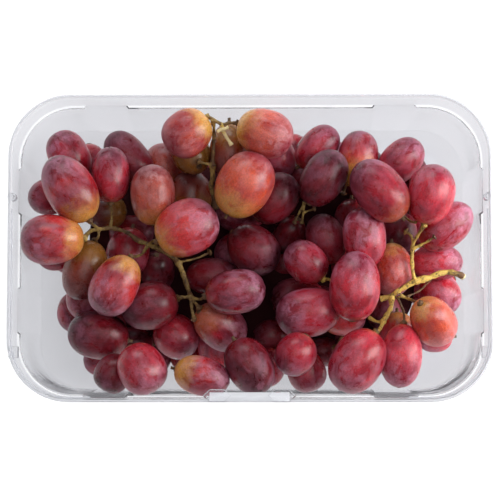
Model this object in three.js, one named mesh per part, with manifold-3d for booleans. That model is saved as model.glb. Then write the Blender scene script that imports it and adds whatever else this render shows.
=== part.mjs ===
// A clear plastic punnet filled with red grapes, their stems showing between them.
// Millimetres, +Z up. The origin is the middle of the base, where the punnet stands.
// +X runs along the long side, and -Y is the near side with the two closing buttons.

import * as THREE from 'three';
import { mergeVertices } from 'three/addons/utils/BufferGeometryUtils.js';
import Module from 'manifold-3d';

const wasm = await Module();
wasm.setup();

// ---- Driving dimensions ----------------------------------------------------

// Tray: a thin-walled box with round corners. An inset is a distance in from the rim's outline.
const LENGTH = 190;
const WIDTH = 121;
const HEIGHT = 75;
const CORNER_RADIUS = 24.5;
const WALL = 0.6;
const LIP_WIDTH = 0.9;
const LIP_HEIGHT = 1.6;
const LIP_CHAMFER = 0.4;
const LEDGE_DEPTH = 17.5;
const LEDGE_STEP = 1.1;
const LEDGE_DROP = 0.5;
const UPPER_DRAFT = 0.5;
const HEEL_HEIGHT = 10;
const HEEL_INSET = 5.2;
const FOOT_INSET = 13.5;
const FOOT_WIDTH = 6;
const PANEL_RISE = 1.4;
const PANEL_SLOPE = 1;

// Channels: eight upright strips, two a side, where the wall has no ledge.
const LONG_CHANNEL = { centre: 58, halfWidth: 8 };
const SHORT_CHANNEL = { centre: 24, halfWidth: 8.5 };
const CHANNEL_CHAMFER = 0.8;
const CHANNEL_NARROWING = 1.4;

// Small fittings on the rim.
const BUTTON = { x: 12, inset: 2.8, length: 10.5, width: 5.5, height: 4, sides: 6 };
const SIDE_LUG = { y: 20, radius: 1.6, height: 5, sides: 10 };
const CORNER_LUG = { y: -41, inset: 2.6, length: 3.6, width: 4.6, height: 5 };

// The eye: places in the heap are given as seen from here against the plane of the rim.
const EYE = { x: 12.7, y: -60.4, rise: 740 };

// Berries.
const HEAP_TOP = 69.5;
const GAP = 0.35;
const SQUEEZE = 0.92;
const STOUTNESS = 1.3;
const END_TAPER = 0.78;
const FINE_BERRIES = 33;
const FACET_SWELL = { fine: 1.03, coarse: 1.07 };
const NECK = { share: 0.45, sides: 4, heartX: 0.75, heartY: 0.65, heartZ: 28, overlap: 4 };
const CORE = { length: 146, width: 84, bottom: 4, top: 36, boxiness: 0.55 };
const FILL = {
  seed: 7,
  layers: 5,
  trials: 1200,
  layerHeight: 10,
  layerSlack: 0.4,
  length: [20, 26],
  width: [16, 19],
  lean: 0.6,
  closing: 2.5,
  rimSamples: 12,
};

const STEM_SIDES = 4;
const KNOT_SWELL = 1.5;

// The berries that show: x, y, length, width, heading of the stem end in degrees, tip, seat.
// Tip 1 has the stem end up, -1 down, 0 lies level. Seat is the highest its middle may lie.
const TOP_BERRIES = [
  [-70.5, 23, 29, 20, 302, 0, 60],
  [-78, 3, 25, 19.5, 2, 0, 60],
  [-38, 20.5, 24, 17.5, 272, 0, 54],
  [-54.5, 28.5, 22, 15, 270, 0, 52],
  [-24.5, 45, 20, 18.5, 40, 0, 58],
  [6, 45, 22.5, 19, 160, 0, 58],
  [-2, 24.5, 27.5, 22, 240, 0, 59],
  [-24.5, 7.5, 25.5, 22, 205, 0, 58],
  [-52.5, -15, 25, 18.5, 62, 0, 56],
  [-5.5, -17.5, 23.5, 17.5, 188, 0, 56],
  [-42, -47.5, 20.5, 18.5, 120, 0, 61],
  [-18.5, -50.5, 22, 15.5, 165, 0, 61],
  [0, -47.5, 23.5, 18, 120, 0, 60],
  [18, -42, 17.5, 16, 60, 0, 60],
  [23, -25.5, 25.5, 19.5, 10, 0, 58],
  [42, -44.5, 26.5, 20.5, 58, 0, 59],
  [59, -42.5, 25, 16.5, 85, 0, 54],
  [71.5, -29, 20, 17, 130, 1, 54],
  [41, -15.5, 27.5, 20, 265, 0, 61],
  [45, 3.5, 23.5, 17, 275, 0, 52],
  [22, -6, 18.5, 15.5, 315, 0, 52],
  [51, 22, 27.5, 19.5, 310, 0, 57],
  [71, 20.5, 24, 18.5, 258, 0, 54],
  [29, 27, 24, 17, 240, 0, 50],
];
const MIDDLE_BERRIES = [
  [-82.4, 20, 17, 14.6, 10, 0, 50],
  [-71, 36, 21, 16, 300, 0, 42],
  [-47.5, 35.5, 23.5, 15.5, 310, 0, 38],
  [-23, 37, 18, 15.5, 300, 1, 40],
  [-8, 38, 22.5, 15.5, 90, 1, 44],
  [10, 19, 22, 17, 230, 0, 40],
  [26.5, 39, 20.5, 14, 225, 0, 38],
  [42.5, 34.5, 22.5, 16, 262, 0, 38],
  [59.5, 34, 20.5, 15.5, 225, 0, 38],
  [77.5, 8, 24, 16.5, 218, 0, 50],
  [55.5, -9, 21, 16.5, 90, 0, 40],
  [30, 3, 20.5, 15.5, 290, 0, 40],
  [1.5, -1, 22.5, 18.5, 140, 0, 44],
  [-14.5, -11.5, 21, 14.5, 180, 0, 36],
  [-64.5, -9, 24, 16.5, 72, 1, 44],
  [-39, -23, 22.5, 19, 15, 0, 46],
  [-59, -34.5, 24, 19, 350, 0, 40],
  [-53, -50.5, 15.5, 14.5, 60, 0, 52],
  [-28.5, -35, 18.5, 17, 140, 0, 44],
  [-11.5, -31, 21.5, 17.5, 145, 1, 44],
  [22, -50, 17, 15, 110, 0, 50],
  [36.5, -26.5, 18, 16.5, 180, 0, 38],
  [19, -20, 21, 15.5, 0, 0, 34],
  [57.5, -34, 17, 14, 90, 0, 34],
];
const DEEP_BERRIES = [
  [-76, -2.5, 15.5, 13.5, 0, 0, 32],
  [-63, 33, 15.5, 13.5, 90, 0, 26],
  [-33.5, 32, 18, 15.5, 270, 0, 28],
  [-23, 19.5, 21, 16.5, 270, 0, 32],
  [11.5, 35, 16.5, 13.5, 90, 0, 30],
  [-56.5, 14, 16.5, 14, 0, 0, 28],
  [-45.5, 5.5, 19.5, 15, 180, 0, 28],
  [-47.5, -2, 19.5, 17, 80, 0, 32],
  [-36, -9.5, 15.5, 13.5, 90, 1, 28],
  [-63.5, -19.5, 18.5, 16.5, 90, 0, 32],
  [-69, -25.5, 15.5, 12.5, 90, 0, 18],
  [-58, -44, 13.5, 12.5, 0, 0, 12],
  [-45, -38, 15, 13.5, 0, 0, 26],
  [15.5, 5, 15, 12.5, 60, 1, 26],
  [14, -7, 15.5, 13.5, 0, 0, 26],
  [40, 11, 15.5, 13.5, 90, 0, 28],
  [58.5, 5.5, 16.5, 14, 90, 0, 26],
  [73, -6, 20.5, 14, 180, 0, 34],
  [74.5, -18, 18, 15, 130, 0, 32],
  [52.5, -25, 15.5, 14, 90, 0, 28],
  [27, -22, 15.5, 14, 0, 0, 26],
  [9, -35, 15.5, 13.5, 0, 0, 26],
  [7, -47, 15.5, 14, 60, 0, 28],
  [28.5, -41, 13.5, 11.5, 0, 0, 26],
  [72, -35, 14, 12.5, 0, 0, 18],
];

// Stems: each branch is a radius and the places it runs through, as x, y seen and true height.
const STEM_LEFT = [
  [1, [[-66, 5.5, 54], [-62.5, 6.3, 50], [-59, 7, 47], [-54.5, 7.5, 45], [-48.5, 6, 44], [-43.5, 2.5, 44]]],
  [1.1, [[-43.5, 2.5, 44], [-39.5, 1, 44], [-35, -1, 43.5], [-30, -4, 43], [-28, -6, 43]]],
  [1.1, [[-28, -6, 43], [-26.5, -9, 44], [-24.5, -15, 46], [-23, -19.5, 48]]],
  [0.7, [[-59, 7, 47], [-61.5, 9, 51], [-63, 11.5, 53]]],
  [0.7, [[-59, 7, 47], [-59.3, 4, 47], [-60, 0.5, 46]]],
  [0.7, [[-54.5, 7.5, 45], [-54, 12, 47], [-53.5, 17.5, 50]]],
  [0.7, [[-39.5, 1, 44], [-37.5, 2.5, 48], [-35.5, 3.5, 54]]],
  [0.7, [[-39.5, 1, 44], [-42.5, -3, 48], [-45.5, -5.5, 53]]],
  [0.5, [[-28, -6, 43], [-23, -5, 43], [-19.5, -4, 42], [-15.5, -2, 41]]],
  [0.8, [[-23, -19.5, 48], [-26.5, -19.7, 48], [-30.5, -20.3, 48.5]]],
  [0.7, [[-23, -19.5, 48], [-19.5, -20.5, 51], [-16.5, -19, 54]]],
  [0.7, [[-23, -19.5, 48], [-19.5, -24, 51]]],
  [0.8, [[-23, -19.5, 48], [-22.5, -24, 49], [-21.5, -28.5, 50]]],
];
const STEM_FAR = [
  [0.8, [[-16, 52, 61], [-14.5, 50.5, 59.5], [-11, 48.5, 57.5], [-7.5, 49, 57], [-5, 50, 58]]],
  [0.9, [[-14.5, 50.5, 59.5], [-14, 47, 56], [-14, 43, 53], [-14.5, 32.5, 50]]],
  [1.2, [[-14.5, 32.5, 50], [-14.5, 27, 48], [-15, 24, 46], [-13, 15, 43]]],
  [0.7, [[-14.5, 32.5, 50], [-18, 33, 50.5], [-20, 33.7, 50]]],
  [0.8, [[-11, 48.5, 57.5], [-10, 45, 56], [-7, 40, 55]]],
];
const STEM_MIDDLE = [
  [0.6, [[21.5, 17.5, 41], [19.5, 13.5, 39], [17.5, 9.5, 37]]],
  [0.6, [[21.5, 17.5, 41], [21, 12.5, 39], [20.5, 9.5, 37]]],
  [0.5, [[21.3, 13.5, 40], [25.5, 15, 42]]],
];
const STEM_RIGHT = [
  [1.2, [[51, -20.5, 44], [55.5, -19, 45], [58.5, -17, 46], [64.5, -13.5, 46]]],
  [1.4, [[64.5, -13.5, 46], [70.5, -12, 45], [74, -10.5, 44], [78, -10, 43], [82, -11, 42], [83.5, -12, 41]]],
  [0.9, [[64.5, -13.5, 46], [63.5, -8, 48], [63.5, -3, 48], [64, 1.5, 48], [65.5, 9.5, 49]]],
  [0.6, [[64, 1.5, 48], [63, 4.5, 46], [61, 6, 45]]],
  [0.6, [[65.5, 9.5, 49], [63, 10, 48], [59.5, 13, 47]]],
  [0.7, [[63.7, -1, 48], [68.5, 1.5, 49], [72.5, 4, 50]]],
  [1.2, [[55.5, -19.5, 45], [55, -24, 45], [53, -27.5, 46], [52, -29.5, 48]]],
  [0.9, [[52, -29.5, 48], [50.5, -32.5, 51], [49, -35, 54]]],
  [0.7, [[52, -29.5, 48], [49, -29, 46], [46.5, -27.5, 45]]],
  [0.7, [[58.5, -19, 45.5], [62.5, -20.5, 47], [64.5, -22, 50]]],
  [0.6, [[57.5, -19.5, 45], [60, -25.5, 44], [59.5, -29, 43]]],
  [0.5, [[71, -12.5, 44.5], [66.5, -17, 44], [61.5, -19.5, 46]]],
];

// ---- Solids: closed meshes joined and cut ----------------------------------

function solidOf(geometry) {
  const bare = geometry.clone();
  bare.deleteAttribute('normal');
  bare.deleteAttribute('uv');
  const merged = mergeVertices(bare, 1e-4);
  return new wasm.Manifold(new wasm.Mesh({
    numProp: 3,
    vertProperties: new Float32Array(merged.attributes.position.array),
    triVerts: new Uint32Array(merged.index.array),
  }));
}

function joined(solids) {
  return solids.reduce((whole, solid) => whole.add(solid));
}

// The largest connected outer skin: sealed hollows and loose scraps are dropped.
function largestBody(solid) {
  const bodies = solid.decompose();
  return bodies.reduce((best, body) => (body.volume() > best.volume() ? body : best));
}

function geometryOf(solid) {
  const mesh = solid.getMesh();
  const geometry = new THREE.BufferGeometry();
  geometry.setAttribute('position', new THREE.BufferAttribute(mesh.vertProperties, 3));
  geometry.setIndex(new THREE.BufferAttribute(mesh.triVerts, 1));
  const faceted = geometry.toNonIndexed();
  faceted.computeVertexNormals();
  return faceted;
}

function named(name, geometry, material) {
  const mesh = new THREE.Mesh(geometry, material);
  mesh.name = name;
  return mesh;
}

// ---- Tray ------------------------------------------------------------------

// The wall's outside as inset and height, from under the lip to the raised middle of the base.
// Give is how much of the ledge a channel takes away again.
function outerProfile() {
  const underLip = LIP_WIDTH;
  const ledgeTop = underLip + UPPER_DRAFT;
  const ledgeZ = HEIGHT - LEDGE_DEPTH;
  const profile = [
    { inset: underLip, z: HEIGHT - LIP_HEIGHT, give: 0 },
    { inset: ledgeTop, z: ledgeZ, give: 0 },
    { inset: ledgeTop + LEDGE_STEP, z: ledgeZ - LEDGE_DROP, give: 1 },
  ];
  const heelSteps = 2;
  for (let step = 0; step <= heelSteps; step += 1) {
    const angle = (step / heelSteps) * Math.PI / 2;
    profile.push({
      inset: HEEL_INSET + (FOOT_INSET - HEEL_INSET) * (1 - Math.cos(angle)),
      z: HEEL_HEIGHT * (1 - Math.sin(angle)),
      give: 0,
    });
  }
  profile.push({ inset: FOOT_INSET + FOOT_WIDTH, z: 0, give: 0 });
  profile.push({ inset: FOOT_INSET + FOOT_WIDTH + PANEL_SLOPE, z: PANEL_RISE, give: 0 });
  return profile;
}

// The same line moved to the inside of the wall, square to itself.
function innerProfile(outer) {
  return outer.map((point, i) => {
    const before = outer[Math.max(i - 1, 0)];
    const after = outer[Math.min(i + 1, outer.length - 1)];
    const run = after.inset - before.inset;
    const fall = before.z - after.z;
    const size = Math.hypot(run, fall);
    return {
      inset: point.inset + WALL * fall / size,
      z: i === 0 ? HEIGHT : point.z + WALL * run / size,
      give: point.give,
    };
  });
}

// Stations along one straight side, from end to end.
function sideStations(halfStraight, channel) {
  const outerEdge = channel.centre + channel.halfWidth;
  const innerEdge = channel.centre - channel.halfWidth;
  const half = [
    { along: innerEdge - CHANNEL_CHAMFER, channel: 0, towards: 1 },
    { along: innerEdge, channel: 1, towards: 1 },
    { along: outerEdge, channel: 1, towards: -1 },
    { along: outerEdge + CHANNEL_CHAMFER, channel: 0, towards: -1 },
    { along: halfStraight, channel: 0, towards: 0 },
  ];
  const mirrored = half.map((s) => ({ along: -s.along, channel: s.channel, towards: -s.towards }));
  return [...mirrored.reverse(), ...half];
}

// Columns run round the tray anticlockwise. Each gives a point for an inset and a narrowing.
function trayColumns() {
  const straightX = LENGTH / 2 - CORNER_RADIUS;
  const straightY = WIDTH / 2 - CORNER_RADIUS;
  const cornerSteps = 5;
  const columns = [];
  for (let quarter = 0; quarter < 4; quarter += 1) {
    const long = quarter % 2 === 1;
    const turn = quarter * Math.PI / 2;
    const [reach, straight] = long ? [WIDTH / 2, straightX] : [LENGTH / 2, straightY];
    const place = (out, along) => [
      out * Math.cos(turn) - along * Math.sin(turn),
      out * Math.sin(turn) + along * Math.cos(turn),
    ];
    for (const station of sideStations(straight, long ? LONG_CHANNEL : SHORT_CHANNEL)) {
      columns.push({
        channel: station.channel,
        at: (inset, narrowing) => place(reach - inset, station.along + station.towards * narrowing),
      });
    }
    for (let step = 1; step < cornerSteps; step += 1) {
      const angle = (step / cornerSteps) * Math.PI / 2;
      columns.push({
        channel: 0,
        at: (inset) => place(
          reach - CORNER_RADIUS + (CORNER_RADIUS - inset) * Math.cos(angle),
          straight + (CORNER_RADIUS - inset) * Math.sin(angle),
        ),
      });
    }
  }
  return columns;
}

// One ring of points round the tray at one place of its profile.
function trayRing(columns, { inset, z, give }) {
  const belowLedge = Math.max(HEIGHT - LEDGE_DEPTH - z, 0) / (HEIGHT - LEDGE_DEPTH);
  return columns.map((column) => {
    const depth = inset - LEDGE_STEP * give * column.channel;
    const [x, y] = column.at(depth, CHANNEL_NARROWING * belowLedge);
    return new THREE.Vector3(x, y, z);
  });
}

function shellGeometry() {
  const outer = outerProfile();
  const inner = innerProfile(outer);
  const lip = [
    { inset: LIP_CHAMFER, z: HEIGHT, give: 0 },
    { inset: 0, z: HEIGHT - LIP_CHAMFER, give: 0 },
    { inset: 0, z: HEIGHT - LIP_HEIGHT, give: 0 },
  ];
  const section = [...inner.reverse(), ...lip, ...outer];
  const columns = trayColumns();
  const rings = section.map((point) => trayRing(columns, point));
  const count = columns.length;
  const points = rings.flat();
  const triangles = [];
  for (let ring = 0; ring < rings.length - 1; ring += 1) {
    for (let column = 0; column < count; column += 1) {
      const next = (column + 1) % count;
      const a = ring * count + column;
      const b = ring * count + next;
      triangles.push(a, b, a + count, b, b + count, a + count);
    }
  }
  const last = (rings.length - 1) * count;
  const insideMiddle = points.push(new THREE.Vector3(0, 0, section[0].z)) - 1;
  const underMiddle = points.push(new THREE.Vector3(0, 0, PANEL_RISE)) - 1;
  for (let column = 0; column < count; column += 1) {
    const next = (column + 1) % count;
    triangles.push(insideMiddle, next, column);
    triangles.push(underMiddle, last + column, last + next);
  }
  const geometry = new THREE.BufferGeometry().setFromPoints(points);
  geometry.setIndex(triangles.reverse());
  return geometry;
}

// Two six-sided closing buttons that stand in from the near rim.
function buttons() {
  return [-1, 1].map((side) => {
    const shape = new THREE.CylinderGeometry(0.5, 0.5, BUTTON.height, BUTTON.sides);
    shape.rotateX(Math.PI / 2);
    shape.rotateZ(Math.PI / 2);
    shape.scale(BUTTON.length, BUTTON.width, 1);
    shape.translate(side * BUTTON.x, BUTTON.inset - WIDTH / 2, HEIGHT - BUTTON.height / 2);
    return solidOf(shape);
  });
}

// A round lug half way along each short rim and a square one near each near corner.
function lugs() {
  return [-1, 1].flatMap((side) => {
    const round = new THREE.CylinderGeometry(
      SIDE_LUG.radius, SIDE_LUG.radius, SIDE_LUG.height, SIDE_LUG.sides,
    );
    round.rotateX(Math.PI / 2);
    round.translate(side * (LENGTH / 2 - SIDE_LUG.radius), SIDE_LUG.y, HEIGHT - SIDE_LUG.height / 2);
    const square = new THREE.BoxGeometry(CORNER_LUG.length, CORNER_LUG.width, CORNER_LUG.height);
    square.translate(
      side * (LENGTH / 2 - CORNER_LUG.inset),
      CORNER_LUG.y,
      HEIGHT - CORNER_LUG.height / 2,
    );
    return [solidOf(round), solidOf(square)];
  });
}

function tray() {
  const plastic = new THREE.MeshStandardMaterial({
    color: 0xe2e6ec, roughness: 0.12, metalness: 0, transparent: true, opacity: 0.35,
  });
  const solid = joined([solidOf(shellGeometry()), ...buttons(), ...lugs()]);
  return named('tray', geometryOf(solid), plastic);
}

// ---- Room inside the tray --------------------------------------------------

const INSIDE = innerProfile(outerProfile());

// How far a point lies in from the rim's outline.
function insetAt(x, y) {
  const past = {
    x: Math.abs(x) - (LENGTH / 2 - CORNER_RADIUS),
    y: Math.abs(y) - (WIDTH / 2 - CORNER_RADIUS),
  };
  const round = Math.hypot(Math.max(past.x, 0), Math.max(past.y, 0));
  return CORNER_RADIUS - round - Math.min(Math.max(past.x, past.y), 0);
}

// Distance from a point to the tray's inner skin, negative outside it.
function clearance({ x, y, z }) {
  const inset = insetAt(x, y);
  let nearest = z - PANEL_RISE - WALL;
  if (inset < FOOT_INSET + FOOT_WIDTH) {
    nearest = Infinity;
  }
  for (let i = 0; i < INSIDE.length - 1; i += 1) {
    const from = INSIDE[i];
    const run = INSIDE[i + 1].inset - from.inset;
    const rise = INSIDE[i + 1].z - from.z;
    const reach = ((inset - from.inset) * run + (z - from.z) * rise) / (run * run + rise * rise);
    const t = Math.min(Math.max(reach, 0), 1);
    const awayIn = inset - from.inset - t * run;
    const awayUp = z - from.z - t * rise;
    const side = Math.sign((z - from.z) * run - (inset - from.inset) * rise);
    const distance = Math.hypot(awayIn, awayUp);
    if (distance < Math.abs(nearest)) {
      nearest = side * distance;
    }
  }
  return nearest;
}

// ---- Berries ---------------------------------------------------------------

const nearness = (z) => 1 + (HEIGHT - z) / EYE.rise;

// The true place of what is seen at x, y against the rim and lies at height z, and the reverse.
function placeAt(x, y, z) {
  const scale = nearness(z);
  return new THREE.Vector3(EYE.x + (x - EYE.x) * scale, EYE.y + (y - EYE.y) * scale, z);
}

function seenAt({ x, y, z }) {
  const scale = nearness(z);
  return { x: EYE.x + (x - EYE.x) / scale, y: EYE.y + (y - EYE.y) / scale };
}

class Berry {
  isFine = false;

  constructor(centre, halfLength, radius, heading, lean) {
    this.halfLength = halfLength;
    this.radius = radius;
    this.axis = new THREE.Vector3(
      Math.cos(lean) * Math.cos(heading),
      Math.cos(lean) * Math.sin(heading),
      Math.sin(lean),
    );
    this.halfHeight = Math.hypot(halfLength * this.axis.z, radius * Math.cos(lean));
    this.centre = centre;
  }

  // Three balls that fill the berry: one in the middle and a smaller one near each end.
  balls() {
    const small = this.radius * END_TAPER;
    const reach = this.halfLength - small;
    return [
      { centre: this.centre, radius: this.radius },
      ...[-1, 1].map((end) => ({
        centre: this.centre.clone().addScaledVector(this.axis, end * reach),
        radius: small,
      })),
    ];
  }

  geometry(growth) {
    const swell = this.isFine ? FACET_SWELL.fine : FACET_SWELL.coarse;
    const shape = this.isFine ? new THREE.IcosahedronGeometry(1, 1) : new THREE.OctahedronGeometry(1, 1);
    shape.scale(
      this.halfLength * swell + growth,
      this.radius * swell + growth,
      this.radius * swell + growth,
    );
    const turn = new THREE.Quaternion().setFromUnitVectors(new THREE.Vector3(1, 0, 0), this.axis);
    shape.applyQuaternion(turn);
    shape.translate(this.centre.x, this.centre.y, this.centre.z);
    return shape;
  }
}

// A berry that shows, put at a height so that it looks its stated size from the eye.
function seenBerry([x, y, length, width, heading, tip], z) {
  const scale = nearness(z);
  const half = length / 2 * scale;
  const radius = width / 2 * scale;
  const halfLength = tip === 0 ? half : Math.max(half, STOUTNESS * radius);
  const level = tip === 0 ? 1 : (half ** 2 - radius ** 2) / (halfLength ** 2 - radius ** 2);
  const lean = tip * Math.acos(Math.sqrt(Math.max(level, 0)));
  const berry = new Berry(placeAt(x, y, z), halfLength, radius, heading * Math.PI / 180, lean);
  berry.outline = { x, y, half: length / 2, radius: width / 2, heading: heading * Math.PI / 180 };
  return berry;
}

// The highest a berry's middle may lie under the ones already placed above it.
function roomUnder(berry, placed) {
  let highest = Infinity;
  for (const upper of placed) {
    for (const a of berry.balls()) {
      for (const b of upper.balls()) {
        const reach = (a.radius + b.radius) * SQUEEZE;
        const apart = Math.hypot(a.centre.x - b.centre.x, a.centre.y - b.centre.y);
        if (apart < reach) {
          const drop = Math.sqrt(reach ** 2 - apart ** 2) + a.centre.z - berry.centre.z;
          highest = Math.min(highest, b.centre.z - drop);
        }
      }
    }
  }
  return highest;
}

// How far, and which way in plan, a berry has to move to come clear of the wall.
function pushFromWall(berry) {
  const push = { x: 0, y: 0 };
  const step = 0.01;
  let deepest = 0;
  for (const ball of berry.balls()) {
    const short = ball.radius + GAP - clearance(ball.centre);
    if (short > deepest) {
      const { x, y } = ball.centre;
      const slope = { x: insetAt(x + step, y) - insetAt(x, y), y: insetAt(x, y + step) - insetAt(x, y) };
      const size = Math.hypot(slope.x, slope.y) || 1;
      deepest = short;
      push.x = slope.x / size * short;
      push.y = slope.y / size * short;
    }
  }
  return push;
}

// The berries that show hang from the top of the heap down: each lies as high as its seat allows
// and the berries above it leave room for.
function settle(rows) {
  const placed = [];
  const settlingRounds = 4;
  const floor = PANEL_RISE + WALL + GAP;
  for (const row of [...rows].sort((a, b) => b[6] - a[6])) {
    const seen = [...row];
    const seat = row[6];
    let berry = seenBerry(seen, seat);
    for (let round = 0; round < settlingRounds; round += 1) {
      const cap = Math.min(seat, HEAP_TOP - berry.halfHeight, roomUnder(berry, placed));
      berry = seenBerry(seen, Math.max(cap, floor + berry.halfHeight));
      const push = pushFromWall(berry);
      seen[0] += push.x;
      seen[1] += push.y;
      berry = seenBerry(seen, berry.centre.z);
    }
    placed.push(berry);
  }
  return placed;
}

// A seeded series of draws between 0 and 1.
function seededDraw(seed) {
  let state = seed;
  return () => {
    state = (state * 1664525 + 1013904223) % 4294967296;
    return state / 4294967296;
  };
}

// Whether a seen point lies on a berry above height z, with the outline grown by a margin.
function isCovered(x, y, z, shown, margin) {
  return shown.some((berry) => {
    if (berry.centre.z < z) {
      return false;
    }
    const { outline } = berry;
    const across = { x: x - outline.x, y: y - outline.y };
    const cos = Math.cos(outline.heading);
    const sin = Math.sin(outline.heading);
    const along = (across.x * cos + across.y * sin) / (outline.half + margin);
    const aside = (across.y * cos - across.x * sin) / (outline.radius + margin);
    return along ** 2 + aside ** 2 < 1;
  });
}

function isHidden(ball, shown) {
  const seen = seenAt(ball.centre);
  const reach = ball.radius + FILL.closing;
  for (let k = 0; k < FILL.rimSamples; k += 1) {
    const angle = k * 2 * Math.PI / FILL.rimSamples;
    const x = seen.x + reach * Math.cos(angle);
    const y = seen.y + reach * Math.sin(angle);
    if (!isCovered(x, y, ball.centre.z, shown, FILL.closing)) {
      return false;
    }
  }
  return true;
}

function isFree(berry, others) {
  return others.every((other) => berry.balls().every((a) => other.balls().every(
    (b) => a.centre.distanceTo(b.centre) >= (a.radius + b.radius) * SQUEEZE,
  )));
}

// Berries under the ones that show: drawn at random, layer by layer, and kept where they fit
// inside the tray, miss the others and can't be seen from the eye.
function fillUnder(shown) {
  const draw = seededDraw(FILL.seed);
  const between = ([low, high]) => low + (high - low) * draw();
  const floor = PANEL_RISE + WALL + GAP;
  const added = [];
  for (let layer = 0; layer < FILL.layers; layer += 1) {
    for (let trial = 0; trial < FILL.trials; trial += 1) {
      const halfLength = between(FILL.length) / 2;
      const radius = between(FILL.width) / 2;
      const heading = 2 * Math.PI * draw();
      const lean = FILL.lean * (2 * draw() - 1);
      const x = LENGTH / 2 * (2 * draw() - 1);
      const y = WIDTH / 2 * (2 * draw() - 1);
      const lift = layer === 0 ? 0 : FILL.layerHeight * (layer + FILL.layerSlack * draw());
      const berry = new Berry(new THREE.Vector3(x, y, 0), halfLength, radius, heading, lean);
      berry.centre.z = floor + berry.halfHeight + lift;
      const fits = berry.balls().every((ball) => clearance(ball.centre) >= ball.radius + GAP
        && isHidden(ball, shown));
      if (fits && isFree(berry, [...shown, ...added])) {
        added.push(berry);
      }
    }
  }
  return added;
}

// ---- Grapes: a core with the berries fused on ------------------------------

// A boxy pillow: a ball whose points are pushed out towards the corners of its box.
function coreGeometry() {
  const shape = new THREE.IcosahedronGeometry(1, 2);
  const points = shape.attributes.position;
  const swell = (value) => Math.sign(value) * Math.abs(value) ** CORE.boxiness;
  for (let i = 0; i < points.count; i += 1) {
    points.setXYZ(i, swell(points.getX(i)), swell(points.getY(i)), swell(points.getZ(i)));
  }
  shape.scale(CORE.length / 2, CORE.width / 2, (CORE.top - CORE.bottom) / 2);
  shape.translate(0, 0, (CORE.top + CORE.bottom) / 2);
  return shape;
}

// A neck ties a berry that touches nothing below it to the heart of the heap.
function neckSolid({ centre, radius }, growth) {
  const heart = new THREE.Vector3(centre.x * NECK.heartX, centre.y * NECK.heartY, NECK.heartZ);
  const line = heart.clone().sub(centre);
  const thickness = radius * NECK.share + growth;
  const shape = new THREE.CylinderGeometry(thickness, thickness, line.length(), NECK.sides);
  const turn = new THREE.Quaternion().setFromUnitVectors(new THREE.Vector3(0, 1, 0), line.normalize());
  const middle = heart.add(centre).multiplyScalar(0.5);
  return solidOf(shape.applyQuaternion(turn).translate(middle.x, middle.y, middle.z));
}

// The heap from the bottom up: each berry is fused to what is there already. The first call,
// without growth, settles which berries need a neck.
function heapSolid(berries, growth) {
  let heap = solidOf(coreGeometry());
  for (const berry of [...berries].sort((a, b) => a.centre.z - b.centre.z)) {
    const solid = solidOf(berry.geometry(growth));
    berry.hasNeck ??= heap.intersect(solid).volume() < NECK.overlap;
    if (berry.hasNeck) {
      heap = heap.add(neckSolid(berry, growth));
    }
    heap = heap.add(solid);
  }
  return heap;
}

function grapes(heap) {
  const skin = new THREE.MeshStandardMaterial({ color: 0x7d2a3a, roughness: 0.35, metalness: 0 });
  return named('grapes', geometryOf(largestBody(heap)), skin);
}

// ---- Stems -----------------------------------------------------------------

function branchSolids([radius, places]) {
  const path = new THREE.CatmullRomCurve3(places.map(([x, y, z]) => placeAt(x, y, z)));
  const section = new THREE.Shape();
  for (let side = 0; side < STEM_SIDES; side += 1) {
    const angle = side * 2 * Math.PI / STEM_SIDES;
    const [x, y] = [radius * Math.cos(angle), radius * Math.sin(angle)];
    if (side === 0) {
      section.moveTo(x, y);
    } else {
      section.lineTo(x, y);
    }
  }
  const tube = new THREE.ExtrudeGeometry(section, {
    steps: places.length - 1, extrudePath: path, bevelEnabled: false,
  });
  const end = path.getPoint(1);
  const knot = new THREE.OctahedronGeometry(radius * KNOT_SWELL, 0).translate(end.x, end.y, end.z);
  return [tube, knot].map(solidOf);
}

function stem(name, branches, heap, color) {
  const wood = new THREE.MeshStandardMaterial({ color, roughness: 0.7, metalness: 0 });
  const whole = joined(branches.flatMap(branchSolids));
  return named(name, geometryOf(largestBody(whole.subtract(heap))), wood);
}

// ---- The punnet ------------------------------------------------------------

const shown = settle([...TOP_BERRIES, ...MIDDLE_BERRIES, ...DEEP_BERRIES]);
for (const berry of shown.slice(0, FINE_BERRIES)) {
  berry.isFine = true;
}
const berries = [...shown, ...fillUnder(shown)];
const heap = heapSolid(berries, 0);
const grownHeap = heapSolid(berries, GAP);

const group = new THREE.Group();
group.add(tray());
group.add(grapes(heap));
group.add(stem('stem_left', STEM_LEFT, grownHeap, 0x7c6230));
group.add(stem('stem_far', STEM_FAR, grownHeap, 0x7a6a34));
group.add(stem('stem_middle', STEM_MIDDLE, grownHeap, 0x5c4426));
group.add(stem('stem_right', STEM_RIGHT, grownHeap, 0xa88b3c));

export default group;
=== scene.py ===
"""A clear plastic punnet of red grapes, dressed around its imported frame.

Metres, +Z up. The origin is the middle of the base. +X runs along the long side, and -Y is the near
side with the two closing buttons. Berries and stems are placed as they are seen against the plane of
the rim from the eye over the punnet, by the same rule as the solids.
"""

import logging
import math
from collections.abc import Callable, Iterator, Sequence
from contextlib import contextmanager
from dataclasses import dataclass, field
from enum import Enum
from itertools import cycle, product

import bmesh
import bpy
import numpy as np
from mathutils import Matrix, Quaternion, Vector, kdtree, noise


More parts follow.
